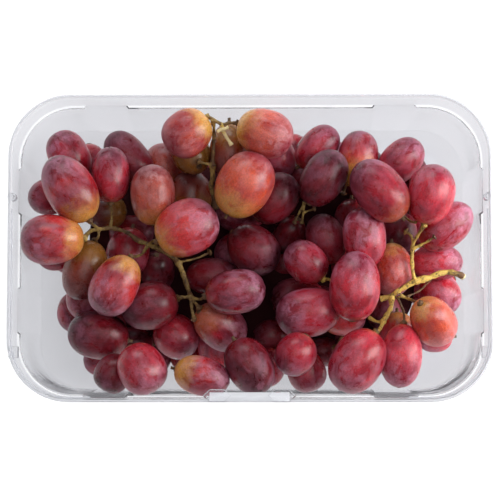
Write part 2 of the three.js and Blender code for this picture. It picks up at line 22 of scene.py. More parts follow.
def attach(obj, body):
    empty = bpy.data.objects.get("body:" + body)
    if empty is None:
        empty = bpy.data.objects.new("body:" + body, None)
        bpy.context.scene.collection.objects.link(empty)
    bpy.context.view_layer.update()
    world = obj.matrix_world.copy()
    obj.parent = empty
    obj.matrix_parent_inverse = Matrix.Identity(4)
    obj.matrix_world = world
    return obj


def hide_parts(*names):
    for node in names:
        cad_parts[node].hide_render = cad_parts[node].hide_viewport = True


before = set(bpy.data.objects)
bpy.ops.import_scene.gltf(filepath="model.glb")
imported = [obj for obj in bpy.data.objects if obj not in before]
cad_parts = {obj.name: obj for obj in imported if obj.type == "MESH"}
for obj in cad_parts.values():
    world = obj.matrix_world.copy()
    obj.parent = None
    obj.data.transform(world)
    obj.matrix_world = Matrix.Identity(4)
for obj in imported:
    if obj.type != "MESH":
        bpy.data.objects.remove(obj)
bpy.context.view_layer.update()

LOG = logging.getLogger("punnet")
MM = 0.001
TURN = 2 * math.pi
BODY = "root"
UP = Vector((0, 0, 1))
Colour = tuple[float, float, float]
Point = tuple[float, float, float]
Shape = tuple[np.ndarray, list[tuple[int, ...]]]

# The Mix node's sockets for the share and two colours, and the one for its mixed colour.
MIX_COLOUR_INPUTS = (0, 6, 7)
MIX_COLOUR_OUTPUT = 2

# The least upward part of the normal of a face that counts as a top.
TOP_FACE = 0.9


# ---- Modelling by hand ------------------------------------------------------


def deselect_all() -> None:
    """Leaves no object selected and edit mode closed."""
    if bpy.context.object is not None and bpy.context.object.mode != "OBJECT":
        bpy.ops.object.mode_set(mode="OBJECT")
    bpy.ops.object.select_all(action="DESELECT")


def make_active(piece: bpy.types.Object) -> None:
    """Selects one piece and nothing else."""
    deselect_all()
    piece.select_set(True)
    bpy.context.view_layer.objects.active = piece


@contextmanager
def editing(piece: bpy.types.Object) -> Iterator[None]:
    """Opens a piece in edit mode with nothing selected, and closes it at the end.

    Args:
        piece: The mesh to edit.
    """
    make_active(piece)
    bpy.ops.object.mode_set(mode="EDIT")
    bpy.ops.mesh.select_mode(type="FACE")
    bpy.ops.mesh.select_all(action="DESELECT")
    yield
    bpy.ops.object.mode_set(mode="OBJECT")


def pick_faces(piece: bpy.types.Object, wanted: Callable[[Vector, Vector], bool]) -> None:
    """Selects the faces of the open piece that pass a test, and no others.

    Args:
        piece: The piece that is open in edit mode.
        wanted: Takes a face's middle and its normal.
    """
    mesh = bmesh.from_edit_mesh(piece.data)
    bpy.ops.mesh.select_mode(type="FACE")
    for face in mesh.faces:
        face.select_set(wanted(face.calc_center_median(), face.normal))
    mesh.select_flush(False)
    bmesh.update_edit_mesh(piece.data)


def pick_points(piece: bpy.types.Object, wanted: Callable[[Vector], bool]) -> int:
    """Selects the vertices of the open piece that pass a test, and no others.

    Args:
        piece: The piece that is open in edit mode.
        wanted: Takes a vertex's place.

    Returns:
        How many vertices are selected.
    """
    bpy.ops.mesh.select_mode(type="VERT")
    mesh = bmesh.from_edit_mesh(piece.data)
    for point in mesh.verts:
        point.select_set(wanted(point.co))
    mesh.select_flush(False)
    bmesh.update_edit_mesh(piece.data)
    return sum(point.select for point in mesh.verts)


def move(x: float = 0.0, y: float = 0.0, z: float = 0.0) -> None:
    """Moves what is selected in edit mode."""
    bpy.ops.transform.translate(value=(x, y, z))


def finish_with(piece: bpy.types.Object, kind: str, **settings: object) -> None:
    """Adds one modifier to a piece and applies it.

    Args:
        piece: The piece to finish.
        kind: The modifier's type.
        **settings: The modifier's values by name.
    """
    make_active(piece)
    modifier = piece.modifiers.new(kind.title(), kind)
    for name, value in settings.items():
        setattr(modifier, name, value)
    bpy.ops.object.modifier_apply(modifier=modifier.name)


def settle_place(piece: bpy.types.Object) -> None:
    """Puts a piece's place, turn and scale into its mesh."""
    make_active(piece)
    bpy.ops.object.transform_apply(location=True, rotation=True, scale=True)


def sized_piece(scale: Sequence[float] = (1, 1, 1)) -> bpy.types.Object:
    """Scales the shape that was just added and puts its place into its mesh."""
    piece = bpy.context.object
    piece.scale = scale
    settle_place(piece)
    return piece


def shade_smooth_under(piece: bpy.types.Object, angle: float) -> None:
    """Shades a piece smoothly, except at edges sharper than an angle."""
    make_active(piece)
    bpy.ops.object.shade_smooth_by_angle(angle=angle)


def inset_steps(steps: Sequence[tuple[float, float]]) -> None:
    """Insets what is selected and moves it up, once for each pair of inset and rise."""
    for inset, rise in steps:
        bpy.ops.mesh.inset(thickness=inset, depth=0)
        move(z=rise)


def taken_off(piece: bpy.types.Object) -> Shape:
    """Takes a modelled shape's points, one row each, and faces off its piece, which is then removed."""
    points = np.array([v.co[:] for v in piece.data.vertices])
    faces = [tuple(p.vertices) for p in piece.data.polygons]
    bpy.data.objects.remove(piece)
    return points, faces


def angles_between(first: float, last: float, steps: int) -> list[float]:
    """Evenly spaced angles from the first to the last."""
    return [first + (last - first) * step / steps for step in range(steps + 1)]


def join(pieces: Sequence[bpy.types.Object], name: str) -> bpy.types.Object:
    """Joins meshes into the first of them.

    Args:
        pieces: The meshes, at least one.
        name: The joined piece's name.

    Returns:
        The joined piece.
    """
    deselect_all()
    for piece in pieces:
        piece.select_set(True)
    bpy.context.view_layer.objects.active = pieces[0]
    if len(pieces) > 1:
        bpy.ops.object.join()
    whole = bpy.context.view_layer.objects.active
    whole.name = whole.data.name = name
    return whole


def mesh_piece(name: str, shapes: Sequence[Shape]) -> bpy.types.Object:
    """Makes one piece of finished shapes, smoothly shaded.

    Args:
        name: The piece's name.
        shapes: The points and faces of each shape.

    Returns:
        The new piece.
    """
    all_points, all_faces = [], []
    for points, faces in shapes:
        all_faces += [tuple(v + len(all_points) for v in face) for face in faces]
        all_points += [tuple(p) for p in points]
    mesh = bpy.data.meshes.new(name)
    mesh.from_pydata(all_points, [], all_faces)
    piece = bpy.data.objects.new(name, mesh)
    bpy.context.scene.collection.objects.link(piece)
    mesh.shade_smooth()
    return piece


def store(piece: bpy.types.Object, name: str, kind: str, values: np.ndarray) -> None:
    """Stores a number or a vector for each vertex of a piece.

    Args:
        piece: The piece.
        name: The attribute's name.
        kind: FLOAT for numbers or FLOAT_VECTOR for vectors.
        values: One number or one row for each vertex.
    """
    attribute = piece.data.attributes.new(name, kind, "POINT")
    numbers = np.asarray(values, np.float32).ravel()
    attribute.data.foreach_set("value" if kind == "FLOAT" else "vector", numbers)


def hand_over(piece: bpy.types.Object, nodes: Sequence[str]) -> bpy.types.Object:
    """Rides a piece on the punnet in place of its solids.

    Args:
        piece: The finished piece.
        nodes: The solids that the piece stands for.

    Returns:
        The same piece.
    """
    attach(piece, BODY)
    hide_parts(*nodes)
    LOG.info("%s: %d faces", piece.name, len(piece.data.polygons))
    return piece


# ---- Materials --------------------------------------------------------------


class Sheet:
    """A sheet of shader nodes with short calls to lay them out and wire them."""

    def __init__(self, tree: bpy.types.NodeTree) -> None:
        """Takes the tree that the nodes go into."""
        self.tree = tree

    def add(self, kind: str, settings: dict[str, object] | None = None, **inputs: object) -> bpy.types.Node:
        """Adds a node.

        Args:
            kind: The node's type, without ShaderNode.
            settings: The node's own properties.
            **inputs: Values or output sockets by input name, with _ for a space.

        Returns:
            The node.
        """
        node = self.tree.nodes.new("ShaderNode" + kind)
        for name, value in (settings or {}).items():
            setattr(node, name, value)
        self.set_inputs(node, **inputs)
        return node

    def feed(self, socket: bpy.types.NodeSocket, value: object) -> None:
        """Wires a socket to an output, or sets its value."""
        if isinstance(value, bpy.types.NodeSocket):
            self.tree.links.new(value, socket)
        elif isinstance(value, tuple) and len(value) == 3 and socket.type == "RGBA":
            socket.default_value = (*value, 1.0)
        else:
            socket.default_value = value

    def set_inputs(self, node: bpy.types.Node, **inputs: object) -> None:
        """Feeds inputs of a node by name, with _ for a space."""
        for name, value in inputs.items():
            self.feed(node.inputs[name.replace("_", " ")], value)

    def calc(self, operation: str, first: object, second: object) -> bpy.types.NodeSocket:
        """The result of one Math node on two numbers or output sockets."""
        node = self.add("Math", {"operation": operation})
        self.feed(node.inputs[0], first)
        self.feed(node.inputs[1], second)
        return node.outputs[0]

    def times(self, first: object, second: object) -> bpy.types.NodeSocket:
        """The product of two values."""
        return self.calc("MULTIPLY", first, second)

    def plus(self, first: object, second: object) -> bpy.types.NodeSocket:
        """The sum of two values."""
        return self.calc("ADD", first, second)

    def centred(self, value: object) -> bpy.types.NodeSocket:
        """A value from 0 to 1, moved to lie about 0."""
        return self.calc("SUBTRACT", value, 0.5)

    def clamped(self, value: object) -> bpy.types.NodeSocket:
        """A value held between 0 and 1."""
        return self.add("Clamp", Value=value).outputs[0]

    def blend(self, share: object, first: object, second: object, way: str = "MIX") -> bpy.types.NodeSocket:
        """Mixes two colours.

        Args:
            share: How much of the second colour, from 0 to 1.
            first: The first colour.
            second: The second colour.
            way: The mix node's blend type.

        Returns:
            The mixed colour's socket.
        """
        node = self.add("Mix", {"data_type": "RGBA", "blend_type": way})
        for index, value in zip(MIX_COLOUR_INPUTS, (share, first, second)):
            self.feed(node.inputs[index], value)
        return node.outputs[MIX_COLOUR_OUTPUT]

    def span(self, value: object, low: float, high: float, new_low: float = 0.0,
             new_high: float = 1.0, soft: bool = True) -> bpy.types.NodeSocket:
        """Maps a range of values onto another, held at its ends.

        Args:
            value: The value to map.
            low: The range's lower end.
            high: The range's upper end.
            new_low: What the lower end becomes.
            new_high: What the upper end becomes.
            soft: Whether the ends ease in and out.

        Returns:
            The mapped value's socket.
        """
        kind = "SMOOTHSTEP" if soft else "LINEAR"
        return self.add("MapRange", {"interpolation_type": kind}, Value=value, From_Min=low, From_Max=high,
                        To_Min=new_low, To_Max=new_high).outputs[0]

    def noise_of(self, where: object, scale: object, detail: float, roughness: float = 0.5,
                 distortion: float = 0.0) -> bpy.types.NodeSocket:
        """A noise value from 0 to 1 at a place."""
        return self.add("TexNoise", Vector=where, Scale=scale, Detail=detail, Roughness=roughness,
                        Distortion=distortion).outputs[0]

    def stretched(self, where: object, scale: Point) -> bpy.types.NodeSocket:
        """A place scaled along its own axes."""
        return self.add("Mapping", Vector=where, Scale=scale).outputs[0]

    def attribute(self, name: str, output: str) -> bpy.types.NodeSocket:
        """An output of one of the mesh's own attributes."""
        return self.add("Attribute", {"attribute_name": name}).outputs[output]

    def group(self, tree: bpy.types.NodeTree, output: str, **inputs: object) -> bpy.types.NodeSocket:
        """Places a shared effect.

        Args:
            tree: The effect's node group.
            output: The name of the output to use.
            **inputs: Values or output sockets by input name, with _ for a space.

        Returns:
            The output's socket.
        """
        return self.add("Group", {"node_tree": tree}, **inputs).outputs[output]

    def relief(self, shader: bpy.types.Node, height: object, strength: float, depth: float) -> None:
        """Gives a shader a bumpy normal.

        Args:
            shader: The shader.
            height: The bumps' height, from 0 to 1.
            strength: How much of them shows.
            depth: How deep they are.
        """
        bump = self.add("Bump", Height=height, Strength=strength, Distance=depth)
        self.set_inputs(shader, Normal=bump.outputs[0])


def new_effect(name: str, inputs: dict[str, float | None], output: str) -> tuple[Sheet, dict]:
    """Starts a shared effect's node group.

    Args:
        name: The group's name.
        inputs: Each input's name and starting value, or None for a place.
        output: The name of its one output, a value.

    Returns:
        The group's sheet, and its input sockets by name with the output's socket under "out".
    """
    tree = bpy.data.node_groups.new(name, "ShaderNodeTree")
    for label, value in inputs.items():
        kind = "NodeSocketVector" if value is None else "NodeSocketFloat"
        socket = tree.interface.new_socket(label, in_out="INPUT", socket_type=kind)
        if value is not None:
            socket.default_value = value
    tree.interface.new_socket(output, in_out="OUTPUT", socket_type="NodeSocketFloat")
    entry = tree.nodes.new("NodeGroupInput")
    exit_node = tree.nodes.new("NodeGroupOutput")
    sockets = {label: entry.outputs[label] for label in inputs}
    sockets["out"] = exit_node.inputs[output]
    return Sheet(tree), sockets


class Effects:
    """The patterns that more than one finish uses, each built once."""

    def __init__(self) -> None:
        """Builds every effect's node group."""
        self.mottle = self.build_mottle()
        self.bloom = self.build_bloom()
        self.speckle = self.build_speckle()
        self.scuff = self.build_scuff()

    def build_mottle(self) -> bpy.types.NodeTree:
        """Uneven ripening: soft patches drawn out along the berry."""
        sheet, socket = new_effect("mottle", {"Where": None, "Scale": 1.6, "Contrast": 1.0}, "Patches")
        drawn = sheet.stretched(socket["Where"], (1.0, 1.0, 0.55))
        broad = sheet.noise_of(drawn, socket["Scale"], 2.0, 0.5, 0.6)
        finer = sheet.noise_of(drawn, sheet.times(socket["Scale"], 4.0), 4.0, 0.6, 0.3)
        both = sheet.plus(sheet.times(broad, 0.72), sheet.times(finer, 0.28))
        strong = sheet.times(sheet.centred(both), sheet.times(socket["Contrast"], 2.6))
        sheet.feed(socket["out"], sheet.clamped(sheet.plus(strong, 0.5)))
        return sheet.tree

    def build_bloom(self) -> bpy.types.NodeTree:
        """Waxy bloom: cloudy patches, rubbed away in streaks, thicker towards the blossom end."""
        sheet, socket = new_effect("bloom", {"Where": None, "End": 0.0, "Amount": 0.5}, "Wax")
        cloud = sheet.span(sheet.noise_of(socket["Where"], 1.3, 4.0, 0.6, 0.6), 0.35, 0.65, 0.25, 1.0)
        drawn = sheet.stretched(socket["Where"], (1.0, 1.0, 0.8))
        rubbed = sheet.span(sheet.noise_of(drawn, 2.1, 5.0, 0.60, 0.5), 0.50, 0.58, 1.0, 0.15)
        thin = sheet.stretched(socket["Where"], (1.6, 1.6, 0.8))
        streaks = sheet.span(sheet.noise_of(thin, 2.6, 6.0, 0.7, 0.6), 0.40, 0.56, 0.45, 1.0)
        far_end = sheet.span(socket["End"], -1.0, 0.8, 1.25, 0.4)
        patches = sheet.times(cloud, sheet.times(rubbed, streaks))
        wax = sheet.times(sheet.times(patches, far_end), socket["Amount"])
        sheet.feed(socket["out"], sheet.clamped(wax))
        return sheet.tree

    def build_speckle(self) -> bpy.types.NodeTree:
        """Small round dots, each of its own strength."""
        sheet, socket = new_effect("speckle", {"Where": None, "Scale": 7.0, "Size": 0.12}, "Dots")
        cells = sheet.add("TexVoronoi", {"feature": "F1"}, Vector=socket["Where"], Scale=socket["Scale"])
        inside = sheet.calc("LESS_THAN", cells.outputs["Distance"], socket["Size"])
        strength = sheet.add("SeparateColor", Color=cells.outputs["Color"]).outputs[0]
        sheet.feed(socket["out"], sheet.times(inside, strength))
        return sheet.tree

    def build_scuff(self) -> bpy.types.NodeTree:
        """Handling marks on plastic: long faint scratches and cloudy rubs."""
        sheet, socket = new_effect("scuff", {"Where": None, "Scale": 60.0, "Amount": 0.5}, "Marks")
        drawn = sheet.stretched(socket["Where"], (0.16, 1.0, 1.0))
        fine = sheet.noise_of(drawn, sheet.times(socket["Scale"], 9.0), 2.0, 0.6, 0.4)
        scratches = sheet.span(fine, 0.6, 0.72)
        rubs = sheet.span(sheet.noise_of(socket["Where"], socket["Scale"], 4.0, 0.6), 0.42, 0.7)
        both = sheet.plus(sheet.times(scratches, 0.5), sheet.times(rubs, 0.5))
        sheet.feed(socket["out"], sheet.times(both, socket["Amount"]))
        return sheet.tree


def new_material(name: str) -> tuple[bpy.types.Material, Sheet, bpy.types.Node, bpy.types.Node]:
    """Starts a material with its one principled shader.

    Args:
        name: The material's name.

    Returns:
        The material, its sheet, the principled node and the output node.
    """
    material = bpy.data.materials.new(name)
    material.use_nodes = True
    nodes = material.node_tree.nodes
    return material, Sheet(material.node_tree), nodes["Principled BSDF"], nodes["Material Output"]


@dataclass(frozen=True)
class ClearPlastic:
    """Thin clear sheet plastic with a grey cast where it is seen through, and painted grey shade where it is
    seen edge-on, in place of the grey reflections that such a sheet shows.
    """

    name: str
    tint: Colour
    # Painted shade: the grey that the sheet's colour turns to where it is seen edge-on.
    edge_on_shade: Colour
    scuffed: Colour
    ior: float = 1.10
    clearness: float = 0.95
    roughness: float = 0.05
    scuffed_roughness: float = 0.3
    scuff_scale: float = 55.0
    scuff: float = 0.35
    lamp_tint: Colour = (0.80, 0.805, 0.82)
    # The facing values over which that painted edge-on shade comes in.
    shade_facing_range: tuple[float, float] = (0.30, 0.80)
    wave_scale: float = 42.0
    waviness: float = 0.10
    wave_depth: float = 1.5 * MM

    def build(self, effects: Effects) -> bpy.types.Material:
        """Makes the material.

        Args:
            effects: The shared patterns.

        Returns:
            The material.
        """
        material, sheet, shader, output = new_material(self.name)
        where = sheet.add("TexCoord").outputs["Object"]
        marks = sheet.group(effects.scuff, "Marks", Where=where, Scale=self.scuff_scale, Amount=self.scuff)
        # Where the sheet is seen edge-on its colour turns grey: painted shade in place of the grey
        # reflections of clear plastic.
        facing = sheet.add("LayerWeight", Blend=0.5).outputs["Facing"]
        tint = sheet.blend(sheet.span(facing, *self.shade_facing_range), self.tint, self.edge_on_shade)
        rough = sheet.span(marks, 0.0, 1.0, self.roughness, self.scuffed_roughness, False)
        sheet.set_inputs(shader, Base_Color=sheet.blend(marks, tint, self.scuffed), Roughness=rough,
                         IOR=self.ior, Transmission_Weight=self.clearness)
        waves = sheet.noise_of(where, self.wave_scale, 2.0, 0.5, 0.4)
        sheet.relief(shader, waves, self.waviness, self.wave_depth)
        through = sheet.add("BsdfTransparent", Color=self.lamp_tint)
        is_lamp = sheet.add("LightPath").outputs["Is Shadow Ray"]
        mixed = sheet.add("MixShader", Fac=is_lamp)
        sheet.feed(mixed.inputs[1], shader.outputs[0])
        sheet.feed(mixed.inputs[2], through.outputs[0])
        sheet.feed(output.inputs["Surface"], mixed.outputs[0])
        return material


@dataclass(frozen=True)
class SkinFinish:
    """A grape's skin: a body colour that goes over to another at the stem end, under waxy bloom."""

    name: str
    deep: Colour
    bright: Colour
    shoulder: Colour
    tip: Colour
    bloom_colour: Colour
    shoulder_from: float
    bloom: float
    specular: float = 0.5
    patch_scale: float = 1.2
    patch_contrast: float = 1.5
    shoulder_over: float = 0.8
    tip_reach: tuple[float, float] = (-1.1, 0.0)
    tip_depth: float = 0.95
    edge_scale: float = 1.3
    unevenness: float = 1.3
    vein_stretch: Point = (2.4, 2.4, 0.8)
    vein_scale: float = 2.4
    vein_strength: float = 0.20
    dot_scale: float = 9.0
    dot_size: float = 0.14
    dot_strength: float = 0.5
    grain_scale: float = 15.0
    shine: float = 0.27
    dull: float = 0.60
    glow: float = 0.08
    glow_radius: Point = (3.2 * MM, 1.0 * MM, 0.7 * MM)
    grain: float = 0.45
    grain_strength: float = 0.16
    grain_depth: float = 0.25 * MM
    coat: float = 0.16
    coat_roughness: float = 0.12

    def build(self, effects: Effects) -> bpy.types.Material:
        """Makes the material.

        Args:
            effects: The shared patterns.

        Returns:
            The material.
        """
        material, sheet, shader, _ = new_material(self.name)
        where = sheet.attribute("skin_at", "Vector")
        end = sheet.attribute("stem_end", "Fac")
        ripe = sheet.centred(sheet.attribute("ripe", "Fac"))
        patches = sheet.group(effects.mottle, "Patches", Where=where, Scale=self.patch_scale,
                              Contrast=self.patch_contrast)
        body = sheet.blend(sheet.clamped(sheet.plus(patches, ripe)), self.deep, self.bright)
        edge = sheet.centred(sheet.noise_of(where, self.edge_scale, 5.0, 0.60, 0.7))
        uneven_end = sheet.plus(end, sheet.times(edge, self.unevenness))
        reach = sheet.plus(uneven_end, sheet.attribute("turned", "Fac"))
        turned = sheet.span(reach, self.shoulder_from, self.shoulder_from + self.shoulder_over)
        skin = sheet.blend(turned, body, self.shoulder)
        dusky = sheet.span(uneven_end, *self.tip_reach, self.tip_depth, 0.0)
        skin = sheet.blend(dusky, skin, self.tip)
        veins = sheet.noise_of(sheet.stretched(where, self.vein_stretch), self.vein_scale, 6.0, 0.7, 0.7)
        skin = sheet.blend(sheet.span(veins, 0.52, 0.70, 0.0, self.vein_strength), skin, self.deep)
        wax = sheet.group(effects.bloom, "Wax", Where=where, End=end, Amount=sheet.attribute("waxed", "Fac"))
        skin = sheet.blend(sheet.times(wax, self.bloom), skin, self.bloom_colour)
        fine = sheet.noise_of(where, self.grain_scale, 4.0, 0.85)
        shade = sheet.span(fine, 0.25, 0.75, 1.0 - self.grain, 1.0 + self.grain, False)
        grey = sheet.add("CombineColor", Red=shade, Green=shade, Blue=shade).outputs[0]
        skin = sheet.blend(1.0, skin, grey, "MULTIPLY")
        dots = sheet.group(effects.speckle, "Dots", Where=where, Scale=self.dot_scale, Size=self.dot_size)
        skin = sheet.blend(sheet.times(dots, self.dot_strength), skin, self.bloom_colour)
        sheet.relief(shader, fine, self.grain_strength, self.grain_depth)
        sheet.set_inputs(shader, Base_Color=skin, Roughness=sheet.span(wax, 0.0, 0.8, self.shine, self.dull),
                         Subsurface_Weight=self.glow, Subsurface_Radius=self.glow_radius,
                         Subsurface_Scale=1.0, Specular_IOR_Level=self.specular,
                         Coat_Weight=self.coat * self.specular, Coat_Roughness=self.coat_roughness)
        return material


@dataclass(frozen=True)
class WoodFinish:
    """A grape stem's bark: from fresh to dry, darker in its grooves and pale where it broke."""

    name: str
    fresh: Colour = (0.74, 0.50, 0.10)
    dry: Colour = (0.15, 0.070, 0.022)
    groove: Colour = (0.040, 0.016, 0.008)
    broken: Colour = (0.84, 0.70, 0.36)
    broken_ages: tuple[float, float] = (-0.35, -0.10)
    roughness: float = 0.62
    uneven_scale: float = 260.0
    unevenness: float = 0.9
    groove_scale: float = 620.0
    groove_strength: float = 0.85
    dot_scale: float = 1300.0
    dot_size: float = 0.3
    dot_strength: float = 0.35
    relief_scale: float = 1100.0
    relief_strength: float = 0.8
    relief_depth: float = 0.25 * MM

    def build(self, effects: Effects) -> bpy.types.Material:
        """Makes the material.

        Args:
            effects: The shared patterns.

        Returns:
            The material.
        """
        material, sheet, shader, _ = new_material(self.name)
        where = sheet.add("TexCoord").outputs["Object"]
        age = sheet.attribute("age", "Fac")
        uneven = sheet.centred(sheet.noise_of(where, self.uneven_scale, 4.0, 0.6))
        aged = sheet.span(sheet.plus(age, sheet.times(uneven, self.unevenness)), 0.1, 0.9)
        bark = sheet.blend(aged, self.fresh, self.dry)
        furrows = sheet.noise_of(where, self.groove_scale, 5.0, 0.70, 0.8)
        bark = sheet.blend(sheet.span(furrows, 0.50, 0.62, 0.0, self.groove_strength), bark, self.groove)
        dots = sheet.group(effects.speckle, "Dots", Where=where, Scale=self.dot_scale, Size=self.dot_size)
        bark = sheet.blend(sheet.times(dots, self.dot_strength), bark, self.groove)
        bark = sheet.blend(sheet.span(age, *self.broken_ages, 1.0, 0.0), bark, self.broken)
        sheet.set_inputs(shader, Base_Color=bark, Roughness=self.roughness)
        height = sheet.noise_of(where, self.relief_scale, 4.0, 0.6, 0.5)
        sheet.relief(shader, height, self.relief_strength, self.relief_depth)
        return material


@dataclass(frozen=True)
class PlainFinish:
    """A matt finish with soft patches between two near colours."""

    name: str
    first: Colour
    second: Colour
    roughness: float = 0.8
    scale: float = 40.0
    specular: float = 0.5
    glow: float = 0.0

    def build(self, effects: Effects) -> bpy.types.Material:
        """Makes the material.

        Args:
            effects: The shared patterns.

        Returns:
            The material.
        """
        material, sheet, shader, _ = new_material(self.name)
        where = sheet.add("TexCoord").outputs["Object"]
        patches = sheet.group(effects.mottle, "Patches", Where=where, Scale=self.scale, Contrast=1.0)
        sheet.set_inputs(shader, Base_Color=sheet.blend(patches, self.first, self.second),
                         Roughness=self.roughness, Specular_IOR_Level=self.specular,
                         Emission_Color=self.second, Emission_Strength=self.glow)
        return material


# The walls turn grey where they are seen edge-on: painted shade in place of their grey reflections.
WALL_PLASTIC = ClearPlastic("clear_plastic", (0.88, 0.885, 0.90), (0.63, 0.634, 0.662),
                            (0.66, 0.665, 0.69), ior=1.03)
# The base's grey tint is partly the plastic's own cast and partly painted shade, for the shadow that the tray
# and grapes would cast on the floor under it.
BASE_PLASTIC = ClearPlastic("clear_plastic_base", (0.64, 0.646, 0.672), (0.64, 0.646, 0.672),
                            (0.61, 0.615, 0.645), ior=1.05, clearness=0.90)
RIM_PLASTIC = ClearPlastic("clear_plastic_rim", (0.74, 0.746, 0.77), (0.74, 0.746, 0.77),
                           (0.70, 0.705, 0.73), clearness=0.70)
TAB_PLASTIC = ClearPlastic("clear_plastic_tab", (0.82, 0.825, 0.845), (0.82, 0.825, 0.845),
                           (0.82, 0.825, 0.845), clearness=0.45)
# The buttons turn near black where they are seen edge-on: painted shade in place of the dark refraction on
# their sloped sides.
BUTTON_PLASTIC = ClearPlastic("clear_plastic_buttons", (0.90, 0.90, 0.91), (0.16, 0.165, 0.18),
                              (0.84, 0.84, 0.85), ior=1.12, roughness=0.02)
BROWN_BARK = WoodFinish("stem_bark_brown", (0.78, 0.56, 0.15), (0.13, 0.060, 0.020))
GREEN_BARK = WoodFinish("stem_bark_green")


# ---- The eye ----------------------------------------------------------------


@dataclass(frozen=True)
class Eye:
    """Where the punnet is seen from, and how places against the rim's plane turn into true ones."""

    x: float = 12.7 * MM
    y: float = -60.4 * MM
    rise: float = 740 * MM
    rim: float = 75 * MM
    aim_x: float = 0.2 * MM
    aim_y: float = -1.2 * MM
    focal_mm: float = 136.7
    sensor_mm: float = 36.0

    def nearness(self, z: float) -> float:
        """How much further off a height is than the rim."""
        return 1 + (self.rim - z) / self.rise

    def place(self, x: float, y: float, z: float) -> np.ndarray:
        """The true place of what is seen at x, y against the rim and lies at height z."""
        scale = self.nearness(z)
        return np.array([self.x + (x - self.x) * scale, self.y + (y - self.y) * scale, z])

    def seen(self, place: Sequence[float]) -> tuple[float, float]:
        """Where a true place is seen against the rim."""
        scale = self.nearness(place[2])
        return self.x + (place[0] - self.x) / scale, self.y + (place[1] - self.y) / scale

    def make_camera(self) -> bpy.types.Object:
        """Sets up the scene's camera.

        Returns:
            The camera.
        """
        data = bpy.data.cameras.new("eye")
        data.lens = self.focal_mm
        data.sensor_width = self.sensor_mm
        data.clip_end = 20.0
        camera = bpy.data.objects.new("eye", data)
        bpy.context.scene.collection.objects.link(camera)
        camera.location = (self.x, self.y, self.rim + self.rise)
        back = (camera.location - Vector((self.aim_x, self.aim_y, self.rim))).normalized()
        right = Vector((0, 1, 0)).cross(back).normalized()
        camera.rotation_euler = Matrix((right, back.cross(right), back)).transposed().to_euler()
        bpy.context.scene.camera = camera
        return camera


# ---- Tray -------------------------------------------------------------------


@dataclass(frozen=True)
class Channel:
    """An upright strip of wall without a ledge, at both ends of a side."""

    centre: float
    half_width: float


